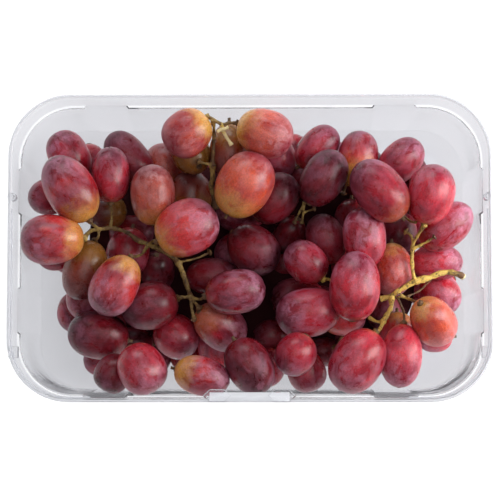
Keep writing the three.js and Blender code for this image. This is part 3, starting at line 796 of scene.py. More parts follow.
@dataclass
class Tray:
    """The clear punnet: a thin wall with round corners, a ledge, eight channels and a raised base."""

    length: float = 190 * MM
    width: float = 121 * MM
    height: float = 75 * MM
    corner_radius: float = 24.5 * MM
    corner_steps: int = 16
    wall: float = 0.6 * MM
    lip_width: float = 0.9 * MM
    lip_height: float = 1.6 * MM
    lip_steps: int = 6
    ledge_depth: float = 17.5 * MM
    ledge_step: float = 1.1 * MM
    ledge_drop: float = 0.5 * MM
    ledge_round: float = 0.3 * MM
    ledge_steps: int = 3
    upper_draft: float = 0.5 * MM
    heel_height: float = 10 * MM
    heel_inset: float = 5.2 * MM
    heel_steps: int = 9
    heel_break: float = 0.30
    foot_inset: float = 13.5 * MM
    foot_width: float = 6 * MM
    panel_rise: float = 1.4 * MM
    panel_slope: float = 1 * MM
    slope_steps: int = 5
    crease: float = 0.4 * MM
    foot_ridge: tuple[tuple[float, float], ...] = (
        (0.7 * MM, 0.0), (1.0 * MM, 0.3 * MM), (1.5 * MM, 0.3 * MM), (1.8 * MM, 0.0),
    )
    long_channel: Channel = Channel(58 * MM, 8 * MM)
    short_channel: Channel = Channel(24 * MM, 8.5 * MM)
    channel_chamfer: float = 0.8 * MM
    channel_narrowing: float = 1.4 * MM
    slack: float = 0.02 * MM
    least_inset: float = 1e-4 * MM
    smooth_under: float = math.radians(24)
    wall_from: float = 10.2 * MM
    rim_from: float = 73 * MM

    @property
    def ledge_z(self) -> float:
        """The height of the ledge's upper edge."""
        return self.height - self.ledge_depth

    def solid_outside(self) -> list[tuple[float, float]]:
        """The solid's outer skin, from under the lip to the raised base, as inset and height."""
        top = self.lip_width + self.upper_draft
        profile = [(self.lip_width, self.height - self.lip_height), (top, self.ledge_z)]
        profile.append((top + self.ledge_step, self.ledge_z - self.ledge_drop))
        for angle in (0.0, math.pi / 4, math.pi / 2):
            inset = self.heel_inset + (self.foot_inset - self.heel_inset) * (1 - math.cos(angle))
            profile.append((inset, self.heel_height * (1 - math.sin(angle))))
        foot_end = self.foot_inset + self.foot_width
        return [*profile, (foot_end, 0.0), (foot_end + self.panel_slope, self.panel_rise)]

    def solid_inside(self) -> list[tuple[float, float]]:
        """The same line moved to the inside of the wall, square to itself."""
        outer = self.solid_outside()
        inner = []
        for i, (inset, z) in enumerate(outer):
            before = outer[max(i - 1, 0)]
            after = outer[min(i + 1, len(outer) - 1)]
            run = after[0] - before[0]
            fall = before[1] - after[1]
            size = math.hypot(run, fall)
            height = self.height if i == 0 else z + self.wall * run / size
            inner.append((inset + self.wall * fall / size, height))
        return inner

    def profile(self) -> list[tuple[float, float]]:
        """The visible skin from the lip's outer edge over the rim and down to the base.

        Returns:
            Inset from the rim's outline and height for each ring, with every bend rounded.
        """
        lip_round = (self.lip_width + self.wall) / 2
        rings = [(0.0, self.height - self.lip_height)]
        for angle in angles_between(0, math.pi, self.lip_steps):
            rings.append((lip_round * (1 - math.cos(angle)), self.height - lip_round * (1 - math.sin(angle))))
        top = 2 * lip_round + self.upper_draft
        edge = self.ledge_round
        bend = angles_between(0, math.pi / 2, self.ledge_steps)
        for angle in bend:
            rings.append((top + edge * (1 - math.cos(angle)), self.ledge_z + edge * (1 - math.sin(angle))))
        for angle in bend:
            rings.append((top + self.ledge_step - edge * (1 - math.sin(angle)),
                          self.ledge_z - self.ledge_drop - edge * (1 - math.cos(angle))))
        heel = self.heel_inset + self.wall
        foot = self.foot_inset + self.wall
        rings.append((heel - self.crease, self.heel_height + self.crease))
        first_cos, first_sin = math.cos(self.heel_break), math.sin(self.heel_break)
        for angle in angles_between(self.heel_break, math.pi / 2, self.heel_steps):
            across = (first_cos - math.cos(angle)) / first_cos
            down = (math.sin(angle) - first_sin) / (1 - first_sin)
            rings.append((heel + (foot - heel) * across,
                          self.heel_height + (self.wall - self.heel_height) * down))
        for across, up in self.foot_ridge:
            rings.append((foot + across, self.wall + up))
        rings.append((self.foot_inset + self.foot_width - self.wall, self.wall))
        start = self.foot_inset + self.foot_width - self.wall / 2
        for step in range(self.slope_steps + 1):
            share = step / self.slope_steps
            eased = share * share * (3 - 2 * share)
            rings.append((start + 2 * self.panel_slope * share, self.wall + self.panel_rise * eased))
        return rings

    def build(self) -> bpy.types.Object:
        """Models the tray: an outline inset ring by ring, cut for its channels and given its wall.

        Returns:
            The tray's piece.
        """
        rings = self.profile()
        bpy.ops.mesh.primitive_plane_add(size=1, location=(0, 0, rings[0][1]))
        piece = sized_piece((self.length, self.width, 1))
        piece.name = piece.data.name = "punnet_tray"
        with editing(piece):
            bpy.ops.mesh.select_all(action="SELECT")
            bpy.ops.mesh.bevel(offset=self.corner_radius, segments=self.corner_steps, affect="VERTICES",
                               profile=0.5, clamp_overlap=False)
            pick_faces(piece, lambda middle, normal: True)
            for (inset, z), (next_inset, next_z) in zip(rings, rings[1:]):
                if next_inset - inset > self.least_inset:
                    bpy.ops.mesh.inset(thickness=next_inset - inset, depth=0, use_even_offset=True)
                else:
                    bpy.ops.mesh.extrude_region_move()
                move(z=next_z - z)
            under_lip = rings[0][1] + self.ledge_round
            pick_faces(piece, lambda middle, normal: self.ledge_z < middle.z < under_lip and normal.z < -0.5)
            bpy.ops.mesh.delete(type="FACE")
            self.cut_channels(piece)
            self.push_channels(piece, rings)
        finish_with(piece, "SOLIDIFY", thickness=self.wall, offset=-1, use_even_offset=True)
        piece.data.materials.clear()
        for face in piece.data.polygons:
            face.material_index = (face.center.z > self.wall_from) + (face.center.z > self.rim_from)
        shade_smooth_under(piece, self.smooth_under)
        return piece

    def channels(self) -> list[tuple[int, Channel, float, float]]:
        """Each kind of side: its axis, its channels, half its own length and half of the other side's."""
        half_x, half_y = self.length / 2, self.width / 2
        return [(0, self.long_channel, half_x, half_y), (1, self.short_channel, half_y, half_x)]

    def cut_channels(self, piece: bpy.types.Object) -> None:
        """Cuts the walls along the edges of the channels, which come nearer to each other going down."""
        deep = self.foot_inset + self.foot_width
        for axis, channel, half_along, half_across in self.channels():
            for side, edge, chamfer in product((-1, 1), (-1, 1), (0.0, self.channel_chamfer)):
                pick_faces(piece, lambda middle, normal: abs(middle[1 - axis]) > half_across - deep
                           and abs(middle[axis]) < half_along - self.corner_radius)
                place = [0.0, 0.0, self.ledge_z]
                place[axis] = side * channel.centre + edge * (channel.half_width + chamfer)
                facing = [0.0, 0.0, -edge * self.channel_narrowing / self.ledge_z]
                facing[axis] = 1.0
                bpy.ops.mesh.bisect(plane_co=place, plane_no=facing)

    def push_channels(self, piece: bpy.types.Object, rings: list[tuple[float, float]]) -> None:
        """Moves the ledge back out where a channel runs through it.

        Args:
            piece: The open tray.
            rings: The profile that the tray was made from.
        """
        top = rings[0][0] + self.lip_width + self.wall + self.upper_draft
        heel = self.heel_inset + self.wall
        slack = self.slack
        ledge_top = self.ledge_z + self.ledge_round
        for inset, z in rings:
            if not self.heel_height + slack < z < ledge_top:
                continue
            fall = (ledge_top - z) / (ledge_top - self.heel_height)
            shift = inset - (top + (heel - top) * fall)
            narrowing = self.channel_narrowing * (1 - z / self.ledge_z)
            for axis, channel, _, half_across in self.channels():
                reach = channel.half_width - narrowing + slack
                for side in (-1, 1):
                    found = pick_points(piece, lambda p: abs(p.z - z) < slack
                                        and abs(side * p[1 - axis] - (half_across - inset)) < slack
                                        and abs(abs(p[axis]) - channel.centre) < reach)
                    if found:
                        away = [0.0, 0.0]
                        away[1 - axis] = side * shift
                        move(x=away[0], y=away[1])


@dataclass
class RimFittings:
    """What stands on the rim: two closing buttons on a plain tab, lugs, and a bead round the near half."""

    tray: Tray
    clear: bpy.types.Material
    pale: bpy.types.Material
    white: bpy.types.Material
    button_x: float = 12.6 * MM
    button_inset: float = 2.5 * MM
    button_length: float = 11.3 * MM
    button_width: float = 5.8 * MM
    button_height: float = 4 * MM
    button_slope: float = 0.35 * MM
    button_proud: float = 0.9 * MM
    button_rim: float = 0.75 * MM
    button_sunk: float = 0.45 * MM
    button_edge: float = 0.08 * MM
    tab_half_length: float = 15.6 * MM
    tab_depth: float = 3.5 * MM
    tab_thickness: float = 0.6 * MM
    tab_round: float = 0.2 * MM
    lug_y: float = 20 * MM
    lug_radius: float = 1.6 * MM
    lug_height: float = 5 * MM
    lug_sides: int = 20
    lug_steps: tuple[tuple[float, float], ...] = ((0.5 * MM, 0.0), (0.3 * MM, -0.3 * MM))
    corner_lug_y: float = -41 * MM
    corner_lug_inset: float = 2.6 * MM
    corner_lug_size: Point = (3.6 * MM, 4.6 * MM, 5 * MM)
    bead_radius: float = 0.42 * MM
    bead_inset: float = 1.75 * MM
    bead_from_y: float = 15 * MM
    bead_to_x: float = 62 * MM
    bead_steps: int = 16
    bead_sides: int = 10
    edge_round: float = 0.45 * MM

    def build(self) -> bpy.types.Object:
        """Models and joins the fittings.

        Returns:
            The fittings' piece.
        """
        sides = (-1, 1)
        clear = [part(side) for part in (self.button, self.lug, self.corner_lug) for side in sides]
        beads = [self.bead(side) for side in sides]
        tab = self.tab()
        for parts, finish in ((clear, self.clear), (beads, self.pale), ([tab], self.white)):
            for part in parts:
                part.data.materials.append(finish)
        return join([*clear, *beads, tab], "rim_fittings")

    def round_edges(self, piece: bpy.types.Object, width: float) -> None:
        """Rounds every edge of a piece."""
        with editing(piece):
            bpy.ops.mesh.select_all(action="SELECT")
            bpy.ops.mesh.bevel(offset=width, segments=3, affect="EDGES", profile=0.5)
        shade_smooth_under(piece, self.tray.smooth_under)

    def button(self, side: int) -> bpy.types.Object:
        """A long six-sided button with a sunk top."""
        place = (side * self.button_x, self.button_inset - self.tray.width / 2,
                 self.tray.height - self.button_height / 2)
        bpy.ops.mesh.primitive_cylinder_add(vertices=6, radius=0.5, depth=self.button_height, location=place,
                                            rotation=(0, 0, math.pi / 2))
        piece = sized_piece((self.button_width, self.button_length, 1))
        with editing(piece):
            pick_faces(piece, lambda middle, normal: normal.z > TOP_FACE)
            inset_steps(((self.button_slope, self.button_proud), (self.button_rim, 0.0),
                         (self.button_slope, -self.button_sunk)))
        self.round_edges(piece, self.button_edge)
        return piece

    def lug(self, side: int) -> bpy.types.Object:
        """A round lug half way along a short rim."""
        place = (side * (self.tray.length / 2 - self.lug_radius), self.lug_y,
                 self.tray.height - self.lug_height / 2)
        bpy.ops.mesh.primitive_cylinder_add(vertices=self.lug_sides, radius=self.lug_radius,
                                            depth=self.lug_height, location=place)
        piece = sized_piece()
        with editing(piece):
            pick_faces(piece, lambda middle, normal: normal.z > TOP_FACE)
            inset_steps(self.lug_steps)
        shade_smooth_under(piece, self.tray.smooth_under)
        return piece

    def block(self, place: Point, size: Point, rounding: float) -> bpy.types.Object:
        """A box with round edges."""
        bpy.ops.mesh.primitive_cube_add(size=1, location=place)
        piece = sized_piece(size)
        self.round_edges(piece, rounding)
        return piece

    def corner_lug(self, side: int) -> bpy.types.Object:
        """A square lug by a near corner."""
        place = (side * (self.tray.length / 2 - self.corner_lug_inset), self.corner_lug_y,
                 self.tray.height - self.corner_lug_size[2] / 2)
        return self.block(place, self.corner_lug_size, self.edge_round)

    def bead(self, side: int) -> bpy.types.Object:
        """A thin bead along the inner edge of the rim, round the near corner."""
        tray = self.tray
        radius = tray.corner_radius - self.bead_inset
        centre_x = tray.length / 2 - tray.corner_radius
        centre_y = tray.width / 2 - tray.corner_radius
        path = [(centre_x + radius, self.bead_from_y), (centre_x + radius, 0.0)]
        for angle in angles_between(0, math.pi / 2, self.bead_steps):
            path.append((centre_x + radius * math.cos(angle), -centre_y - radius * math.sin(angle)))
        path.append((self.bead_to_x, -centre_y - radius))
        line = [(side * x, y, tray.height - self.bead_radius) for x, y in path]
        return tube("bead", line, [self.bead_radius] * len(line), self.bead_sides)

    def tab(self) -> bpy.types.Object:
        """The plain tab between and under the buttons."""
        tray = self.tray
        place = (0, self.tab_depth / 2 + tray.wall / 2 - tray.width / 2, tray.height)
        size = (2 * self.tab_half_length, self.tab_depth, self.tab_thickness)
        return self.block(place, size, self.tab_round)


def tube(name: str, path: Sequence[Sequence[float]], radii: Sequence[float], sides: int) -> bpy.types.Object:
    """A closed tube along a line, as a curve that is made a mesh.

    Args:
        name: The piece's name.
        path: The points of its middle line.
        radii: The tube's radius at each point.
        sides: How many sides it has, an even number.

    Returns:
        The tube, a mesh.
    """
    curve = bpy.data.curves.new(name, "CURVE")
    curve.dimensions = "3D"
    curve.bevel_depth = 1.0
    curve.bevel_resolution = sides // 2 - 2
    curve.use_fill_caps = True
    spline = curve.splines.new("POLY")
    spline.points.add(len(path) - 1)
    for point, place, radius in zip(spline.points, path, radii):
        point.co = (*place, 1.0)
        point.radius = radius
    piece = bpy.data.objects.new(name, curve)
    bpy.context.scene.collection.objects.link(piece)
    make_active(piece)
    bpy.ops.object.convert(target="MESH")
    piece = bpy.context.object
    piece.data.shade_smooth()
    return piece


# ---- The heap of berries -----------------------------------------------------


class Skin(Enum):
    """The kinds of skin in the punnet."""

    SALMON = "salmon"
    BLUSH = "blush"
    CRIMSON = "crimson"
    MAUVE = "mauve"
    PLUM = "plum"
    OLIVE = "olive"
    RUSSET = "russet"


SALMON, BLUSH, CRIMSON, MAUVE, PLUM, OLIVE, RUSSET = Skin

FINISHES = {
    SALMON: SkinFinish("skin_salmon", (0.32, 0.016, 0.016), (0.60, 0.085, 0.032), (0.62, 0.310, 0.060),
                       (0.24, 0.020, 0.035), (0.62, 0.29, 0.32), 0.20, 0.45),
    BLUSH: SkinFinish("skin_blush", (0.22, 0.004, 0.010), (0.52, 0.026, 0.024), (0.62, 0.290, 0.055),
                      (0.10, 0.006, 0.018), (0.46, 0.20, 0.29), 0.27, 0.55),
    CRIMSON: SkinFinish("skin_crimson", (0.24, 0.004, 0.012), (0.56, 0.018, 0.034), (0.56, 0.120, 0.030),
                        (0.17, 0.008, 0.026), (0.58, 0.25, 0.36), 0.75, 0.60),
    MAUVE: SkinFinish("skin_mauve", (0.11, 0.002, 0.007), (0.35, 0.009, 0.020), (0.36, 0.080, 0.030),
                      (0.09, 0.005, 0.015), (0.44, 0.17, 0.26), 0.65, 0.60, specular=0.4),
    PLUM: SkinFinish("skin_plum", (0.044, 0.001, 0.003), (0.180, 0.006, 0.012), (0.170, 0.032, 0.015),
                     (0.040, 0.003, 0.007), (0.27, 0.095, 0.145), 0.80, 0.55, specular=0.3),
    OLIVE: SkinFinish("skin_olive", (0.12, 0.008, 0.006), (0.24, 0.032, 0.012), (0.27, 0.110, 0.018),
                      (0.09, 0.007, 0.010), (0.40, 0.22, 0.22), -0.20, 0.30),
    RUSSET: SkinFinish("skin_russet", (0.20, 0.014, 0.012), (0.42, 0.056, 0.028), (0.46, 0.170, 0.035),
                       (0.18, 0.014, 0.022), (0.52, 0.27, 0.28), 0.30, 0.50),
}

# The berries that show, in millimetres and degrees: x, y, length, width, heading of the stem end,
# tip, seat, skin, tone, reach. Tip 1 has the stem end up, 0 lies level. Seat is the highest its
# middle may lie. Tone is how many steps lighter its skin is than its kind, and reach is how many
# steps further the colour of the stem end comes down.
TOP_BERRIES = [
    (-70.5, 23, 29, 20, 302, 0, 60, BLUSH, -2, 0),
    (-78, 3, 25, 19.5, 2, 0, 60, BLUSH, 0, 0),
    (-38, 20.5, 24, 17.5, 272, 0, 54, RUSSET, 1, 0),
    (-54.5, 28.5, 22, 15, 270, 0, 52, MAUVE, 1, 0),
    (-24.5, 45, 20, 18.5, 40, 0, 58, SALMON, -5, 0),
    (6, 45, 22.5, 19, 160, 0, 58, SALMON, 1, 0),
    (-2, 24.5, 27.5, 22, 240, 0, 59, SALMON, 1, 0),
    (-24.5, 7.5, 25.5, 22, 205, 0, 58, BLUSH, 3, 0),
    (-52.5, -15, 25, 18.5, 62, 0, 56, BLUSH, 1, 0),
    (-5.5, -17.5, 23.5, 17.5, 188, 0, 56, MAUVE, -1, 0),
    (-42, -47.5, 20.5, 18.5, 120, 0, 61, CRIMSON, -3, 0),
    (-18.5, -50.5, 22, 15.5, 165, 0, 61, BLUSH, -2, 1),
    (0, -47.5, 23.5, 18, 120, 0, 60, PLUM, 1, 0),
    (18, -42, 17.5, 16, 60, 0, 60, MAUVE, 3, 0),
    (23, -25.5, 25.5, 19.5, 10, 0, 58, MAUVE, 4, 0),
    (42, -44.5, 26.5, 20.5, 58, 0, 59, CRIMSON, -1, 0),
    (59, -42.5, 25, 16.5, 85, 0, 54, CRIMSON, 2, 0),
    (71.5, -29, 20, 17, 130, 1, 54, SALMON, 2, -2),
    (41, -15.5, 27.5, 20, 265, 0, 61, CRIMSON, 0, 0),
    (45, 3.5, 23.5, 17, 275, 0, 52, CRIMSON, -1, 0),
    (22, -6, 18.5, 15.5, 315, 0, 52, MAUVE, 1, 0),
    (51, 22, 27.5, 19.5, 310, 0, 57, MAUVE, 3, 2),
    (71, 20.5, 24, 18.5, 258, 0, 54, CRIMSON, 1, 0),
    (29, 27, 24, 17, 240, 0, 50, PLUM, -2, 0),
]
MIDDLE_BERRIES = [
    (-82.4, 20, 17, 14.6, 10, 0, 50, MAUVE, 1, 0),
    (-71, 36, 21, 16, 300, 0, 42, MAUVE, 2, 0),
    (-47.5, 35.5, 23.5, 15.5, 310, 0, 38, PLUM, 4, 0),
    (-23, 37, 18, 15.5, 300, 1, 40, OLIVE, 2, 0),
    (-8, 38, 22.5, 15.5, 90, 1, 44, OLIVE, 6, 0),
    (10, 19, 22, 17, 230, 0, 40, PLUM, 4, 0),
    (26.5, 39, 20.5, 14, 225, 0, 38, MAUVE, 1, 0),
    (42.5, 34.5, 22.5, 16, 262, 0, 38, BLUSH, 0, 3),
    (59.5, 34, 20.5, 15.5, 225, 0, 38, MAUVE, 2, 0),
    (77.5, 8, 24, 16.5, 218, 0, 50, CRIMSON, 0, 0),
    (55.5, -9, 21, 16.5, 90, 0, 40, SALMON, 0, -1),
    (30, 3, 20.5, 15.5, 290, 0, 40, PLUM, 6, 0),
    (1.5, -1, 22.5, 18.5, 140, 0, 44, PLUM, 0, 0),
    (-14.5, -11.5, 21, 14.5, 180, 0, 36, PLUM, 6, 0),
    (-64.5, -9, 24, 16.5, 72, 1, 44, OLIVE, 3, 0),
    (-39, -23, 22.5, 19, 15, 0, 46, PLUM, 1, 0),
    (-59, -34.5, 24, 19, 350, 0, 40, PLUM, 1, 0),
    (-53, -50.5, 15.5, 14.5, 60, 0, 52, PLUM, 3, 0),
    (-28.5, -35, 18.5, 17, 140, 0, 44, MAUVE, 4, 0),
    (-11.5, -31, 21.5, 17.5, 145, 1, 44, MAUVE, -1, 4),
    (22, -50, 17, 15, 110, 0, 50, CRIMSON, -2, 0),
    (36.5, -26.5, 18, 16.5, 180, 0, 38, BLUSH, 5, 0),
    (19, -20, 21, 15.5, 0, 0, 34, PLUM, 6, 0),
    (57.5, -34, 17, 14, 90, 0, 34, BLUSH, 0, 0),
]
DEEP_BERRIES = [
    (-76, -2.5, 15.5, 13.5, 0, 0, 32, MAUVE, 2, 0),
    (-63, 33, 15.5, 13.5, 90, 0, 26, MAUVE, 5, 0),
    (-33.5, 32, 18, 15.5, 270, 0, 28, RUSSET, 1, 0),
    (-23, 19.5, 21, 16.5, 270, 0, 32, OLIVE, 3, 0),
    (11.5, 35, 16.5, 13.5, 90, 0, 30, MAUVE, 3, 0),
    (-56.5, 14, 16.5, 14, 0, 0, 28, OLIVE, -3, 0),
    (-45.5, 5.5, 19.5, 15, 180, 0, 28, PLUM, 6, 0),
    (-47.5, -2, 19.5, 17, 80, 0, 32, MAUVE, 4, 0),
    (-36, -9.5, 15.5, 13.5, 90, 1, 28, PLUM, 0, 0),
    (-63.5, -19.5, 18.5, 16.5, 90, 0, 32, MAUVE, 1, 0),
    (-69, -25.5, 15.5, 12.5, 90, 0, 18, MAUVE, 1, 0),
    (-58, -44, 13.5, 12.5, 0, 0, 12, MAUVE, 4, 0),
    (-45, -38, 15, 13.5, 0, 0, 26, PLUM, -2, 0),
    (15.5, 5, 15, 12.5, 60, 1, 26, PLUM, 0, 0),
    (14, -7, 15.5, 13.5, 0, 0, 26, PLUM, 6, 0),
    (40, 11, 15.5, 13.5, 90, 0, 28, PLUM, 6, 0),
    (58.5, 5.5, 16.5, 14, 90, 0, 26, PLUM, 2, 0),
    (73, -6, 20.5, 14, 180, 0, 34, CRIMSON, 3, 0),
    (74.5, -18, 18, 15, 130, 0, 32, CRIMSON, 0, 0),
    (52.5, -25, 15.5, 14, 90, 0, 28, PLUM, 2, 0),
    (27, -22, 15.5, 14, 0, 0, 26, PLUM, 0, 0),
    (9, -35, 15.5, 13.5, 0, 0, 26, PLUM, 3, 0),
    (7, -47, 15.5, 14, 60, 0, 28, MAUVE, -1, 0),
    (28.5, -41, 13.5, 11.5, 0, 0, 26, PLUM, -1, 0),
    (72, -35, 14, 12.5, 0, 0, 18, CRIMSON, 2, 0),
]


class SeededDraw:
    """A seeded series of draws between 0 and 1."""

    MULTIPLIER = 1664525
    INCREMENT = 1013904223
    MODULUS = 2**32

    def __init__(self, seed: int) -> None:
        """Starts the series at a seed."""
        self.state = seed

    def __call__(self) -> float:
        """The next draw."""
        self.state = (self.state * self.MULTIPLIER + self.INCREMENT) % self.MODULUS
        return self.state / self.MODULUS

    def between(self, low: float, high: float) -> float:
        """The next draw, laid between two values."""
        return low + (high - low) * self()


@dataclass
class Berry:
    """One grape: a long round body about its axis, which points to the stem end."""

    centre: np.ndarray
    half_length: float
    radius: float
    heading: float
    lean: float
    skin: Skin
    tone: int = 0
    reach: int = 0
    outline: tuple[float, float, float, float] | None = None
    end_taper: float = 0.78

    def __post_init__(self) -> None:
        """Works out the axis and the reach upwards."""
        self.axis = np.array([
            math.cos(self.lean) * math.cos(self.heading),
            math.cos(self.lean) * math.sin(self.heading),
            math.sin(self.lean),
        ])
        self.half_height = math.hypot(self.half_length * self.axis[2], self.radius * math.cos(self.lean))

    def balls(self) -> list[tuple[np.ndarray, float]]:
        """Three balls that fill the berry: one in the middle and a smaller one near each end."""
        small = self.radius * self.end_taper
        reach = self.half_length - small
        ends = [(self.centre + end * reach * self.axis, small) for end in (-1, 1)]
        return [(self.centre, self.radius), *ends]

    @property
    def stem_end(self) -> np.ndarray:
        """The middle of the berry's stem end."""
        return self.centre + self.half_length * self.axis


@dataclass
class Heap:
    """The rule that lays the berries in the tray, the same as for the solids."""

    tray: Tray
    eye: Eye
    top: float = 69.5 * MM
    gap: float = 0.35 * MM
    squeeze: float = 0.92
    stoutness: float = 1.3
    rounds: int = 4
    seed: int = 7
    layers: int = 5
    trials: int = 1200
    layer_height: float = 10 * MM
    layer_slack: float = 0.4
    length: tuple[float, float] = (20 * MM, 26 * MM)
    width: tuple[float, float] = (16 * MM, 19 * MM)
    lean: float = 0.6
    closing: float = 2.5 * MM
    rim_samples: int = 12

    def __post_init__(self) -> None:
        """Keeps the inner skin and the floor's height at hand."""
        self.inside = self.tray.solid_inside()
        self.floor = self.tray.panel_rise + self.tray.wall + self.gap

    def inset_at(self, x: float, y: float) -> float:
        """How far a point lies in from the rim's outline."""
        corner = self.tray.corner_radius
        past_x = abs(x) - (self.tray.length / 2 - corner)
        past_y = abs(y) - (self.tray.width / 2 - corner)
        return corner - math.hypot(max(past_x, 0), max(past_y, 0)) - min(max(past_x, past_y), 0)

    def clearance(self, place: Sequence[float]) -> float:
        """Distance from a place to the tray's inner skin, negative outside it."""
        x, y, z = place
        inset = self.inset_at(x, y)
        nearest = z - self.tray.panel_rise - self.tray.wall
        if inset < self.tray.foot_inset + self.tray.foot_width:
            nearest = math.inf
        for (inset_0, z_0), (inset_1, z_1) in zip(self.inside, self.inside[1:]):
            run = inset_1 - inset_0
            rise = z_1 - z_0
            reach = ((inset - inset_0) * run + (z - z_0) * rise) / (run * run + rise * rise)
            t = min(max(reach, 0), 1)
            distance = math.hypot(inset - inset_0 - t * run, z - z_0 - t * rise)
            if distance < abs(nearest):
                nearest = math.copysign(distance, (z - z_0) * run - (inset - inset_0) * rise)
        return nearest

    def seen_berry(self, row: Sequence, z: float) -> Berry:
        """A berry that shows, put at a height so that it looks its stated size from the eye.

        Args:
            row: One of the rows above, with its lengths in metres and its heading in radians.
            z: The height of its middle.

        Returns:
            The berry.
        """
        x, y, length, width, heading, tip, skin, tone, reach = row
        scale = self.eye.nearness(z)
        half = length / 2 * scale
        radius = width / 2 * scale
        half_length = half if tip == 0 else max(half, self.stoutness * radius)
        level = 1.0 if tip == 0 else (half**2 - radius**2) / (half_length**2 - radius**2)
        lean = tip * math.acos(math.sqrt(max(level, 0)))
        return Berry(self.eye.place(x, y, z), half_length, radius, heading, lean, skin, tone, reach,
                     (x, y, length / 2, width / 2))

    def room_under(self, berry: Berry, placed: list[Berry]) -> float:
        """The highest a berry's middle may lie under the ones already placed above it."""
        highest = math.inf
        for upper in placed:
            for centre_a, radius_a in berry.balls():
                for centre_b, radius_b in upper.balls():
                    reach = (radius_a + radius_b) * self.squeeze
                    apart = math.hypot(centre_a[0] - centre_b[0], centre_a[1] - centre_b[1])
                    if apart < reach:
                        drop = math.sqrt(reach**2 - apart**2) + centre_a[2] - berry.centre[2]
                        highest = min(highest, centre_b[2] - drop)
        return highest

    def push_from_wall(self, berry: Berry) -> tuple[float, float]:
        """How far, and which way in plan, a berry has to move to come clear of the wall."""
        push_x = push_y = deepest = 0.0
        step = 0.01 * MM
        for centre, radius in berry.balls():
            short = radius + self.gap - self.clearance(centre)
            if short > deepest:
                deepest = short
                x, y = centre[0], centre[1]
                slope_x = self.inset_at(x + step, y) - self.inset_at(x, y)
                slope_y = self.inset_at(x, y + step) - self.inset_at(x, y)
                size = math.hypot(slope_x, slope_y) or 1.0
                push_x = slope_x / size * short
                push_y = slope_y / size * short
        return push_x, push_y

    def settle(self, rows: Sequence[Sequence]) -> list[Berry]:
        """Lays the berries that show, from the top of the heap down.

        Args:
            rows: The rows of all berries that show.

        Returns:
            The berries, each as high as its seat allows and the berries above leave room for.
        """
        placed: list[Berry] = []
        for row in sorted(rows, key=lambda r: -r[6]):
            x, y, length, width, heading, tip, seat, *looks = row
            seat = seat * MM
            shown = [x * MM, y * MM, length * MM, width * MM, math.radians(heading), tip, *looks]
            berry = self.seen_berry(shown, seat)
            for _ in range(self.rounds):
                cap = min(seat, self.top - berry.half_height, self.room_under(berry, placed))
                berry = self.seen_berry(shown, max(cap, self.floor + berry.half_height))
                push_x, push_y = self.push_from_wall(berry)
                shown[0] += push_x
                shown[1] += push_y
                berry = self.seen_berry(shown, berry.centre[2])
            placed.append(berry)
        return placed

    def is_hidden(self, ball: tuple[np.ndarray, float], shown: np.ndarray) -> bool:
        """Whether a ball can't be seen from the eye past the berries that show.

        Args:
            ball: The ball's middle and radius.
            shown: A row for each berry that shows: x, y, half length, radius, heading, height.

        Returns:
            True if every sample round the ball's rim lies behind a berry above it.
        """
        centre, radius = ball
        over = shown[shown[:, 5] >= centre[2]]
        if not len(over):
            return False
        seen_x, seen_y = self.eye.seen(centre)
        angles = np.arange(self.rim_samples) * TURN / self.rim_samples
        reach = radius + self.closing
        across_x = seen_x + reach * np.cos(angles)[:, None] - over[:, 0]
        across_y = seen_y + reach * np.sin(angles)[:, None] - over[:, 1]
        cos, sin = np.cos(over[:, 4]), np.sin(over[:, 4])
        along = (across_x * cos + across_y * sin) / (over[:, 2] + self.closing)
        aside = (across_y * cos - across_x * sin) / (over[:, 3] + self.closing)
        return bool(np.all(np.any(along**2 + aside**2 < 1, axis=1)))

    def is_free(self, berry: Berry, centres: np.ndarray, radii: np.ndarray) -> bool:
        """Whether a berry misses all the balls of the others."""
        return all(
            np.all(np.linalg.norm(centres - centre, axis=1) >= (radii + radius) * self.squeeze)
            for centre, radius in berry.balls()
        )

    def fill_under(self, shown: list[Berry]) -> list[Berry]:
        """Draws berries for the room under the ones that show, layer by layer.

        Args:
            shown: The berries that show.

        Returns:
            The berries that fit inside the tray, miss the others and can't be seen.
        """
        draw = SeededDraw(self.seed)
        table = np.array([[*b.outline, b.heading, b.centre[2]] for b in shown])
        balls = [ball for b in shown for ball in b.balls()]
        added: list[Berry] = []
        for layer in range(self.layers):
            for _ in range(self.trials):
                half_length = draw.between(*self.length) / 2
                radius = draw.between(*self.width) / 2
                heading = TURN * draw()
                lean = self.lean * (2 * draw() - 1)
                x = self.tray.length / 2 * (2 * draw() - 1)
                y = self.tray.width / 2 * (2 * draw() - 1)
                lift = 0.0 if layer == 0 else self.layer_height * (layer + self.layer_slack * draw())
                berry = Berry(np.array([x, y, 0.0]), half_length, radius, heading, lean, PLUM)
                berry.centre[2] = self.floor + berry.half_height + lift
                if any(self.clearance(centre) < size + self.gap for centre, size in berry.balls()):
                    continue
                if not all(self.is_hidden(ball, table) for ball in berry.balls()):
                    continue
                centres = np.array([centre for centre, _ in balls])
                radii = np.array([size for _, size in balls])
                if self.is_free(berry, centres, radii):
                    added.append(berry)
                    balls += berry.balls()
        return added


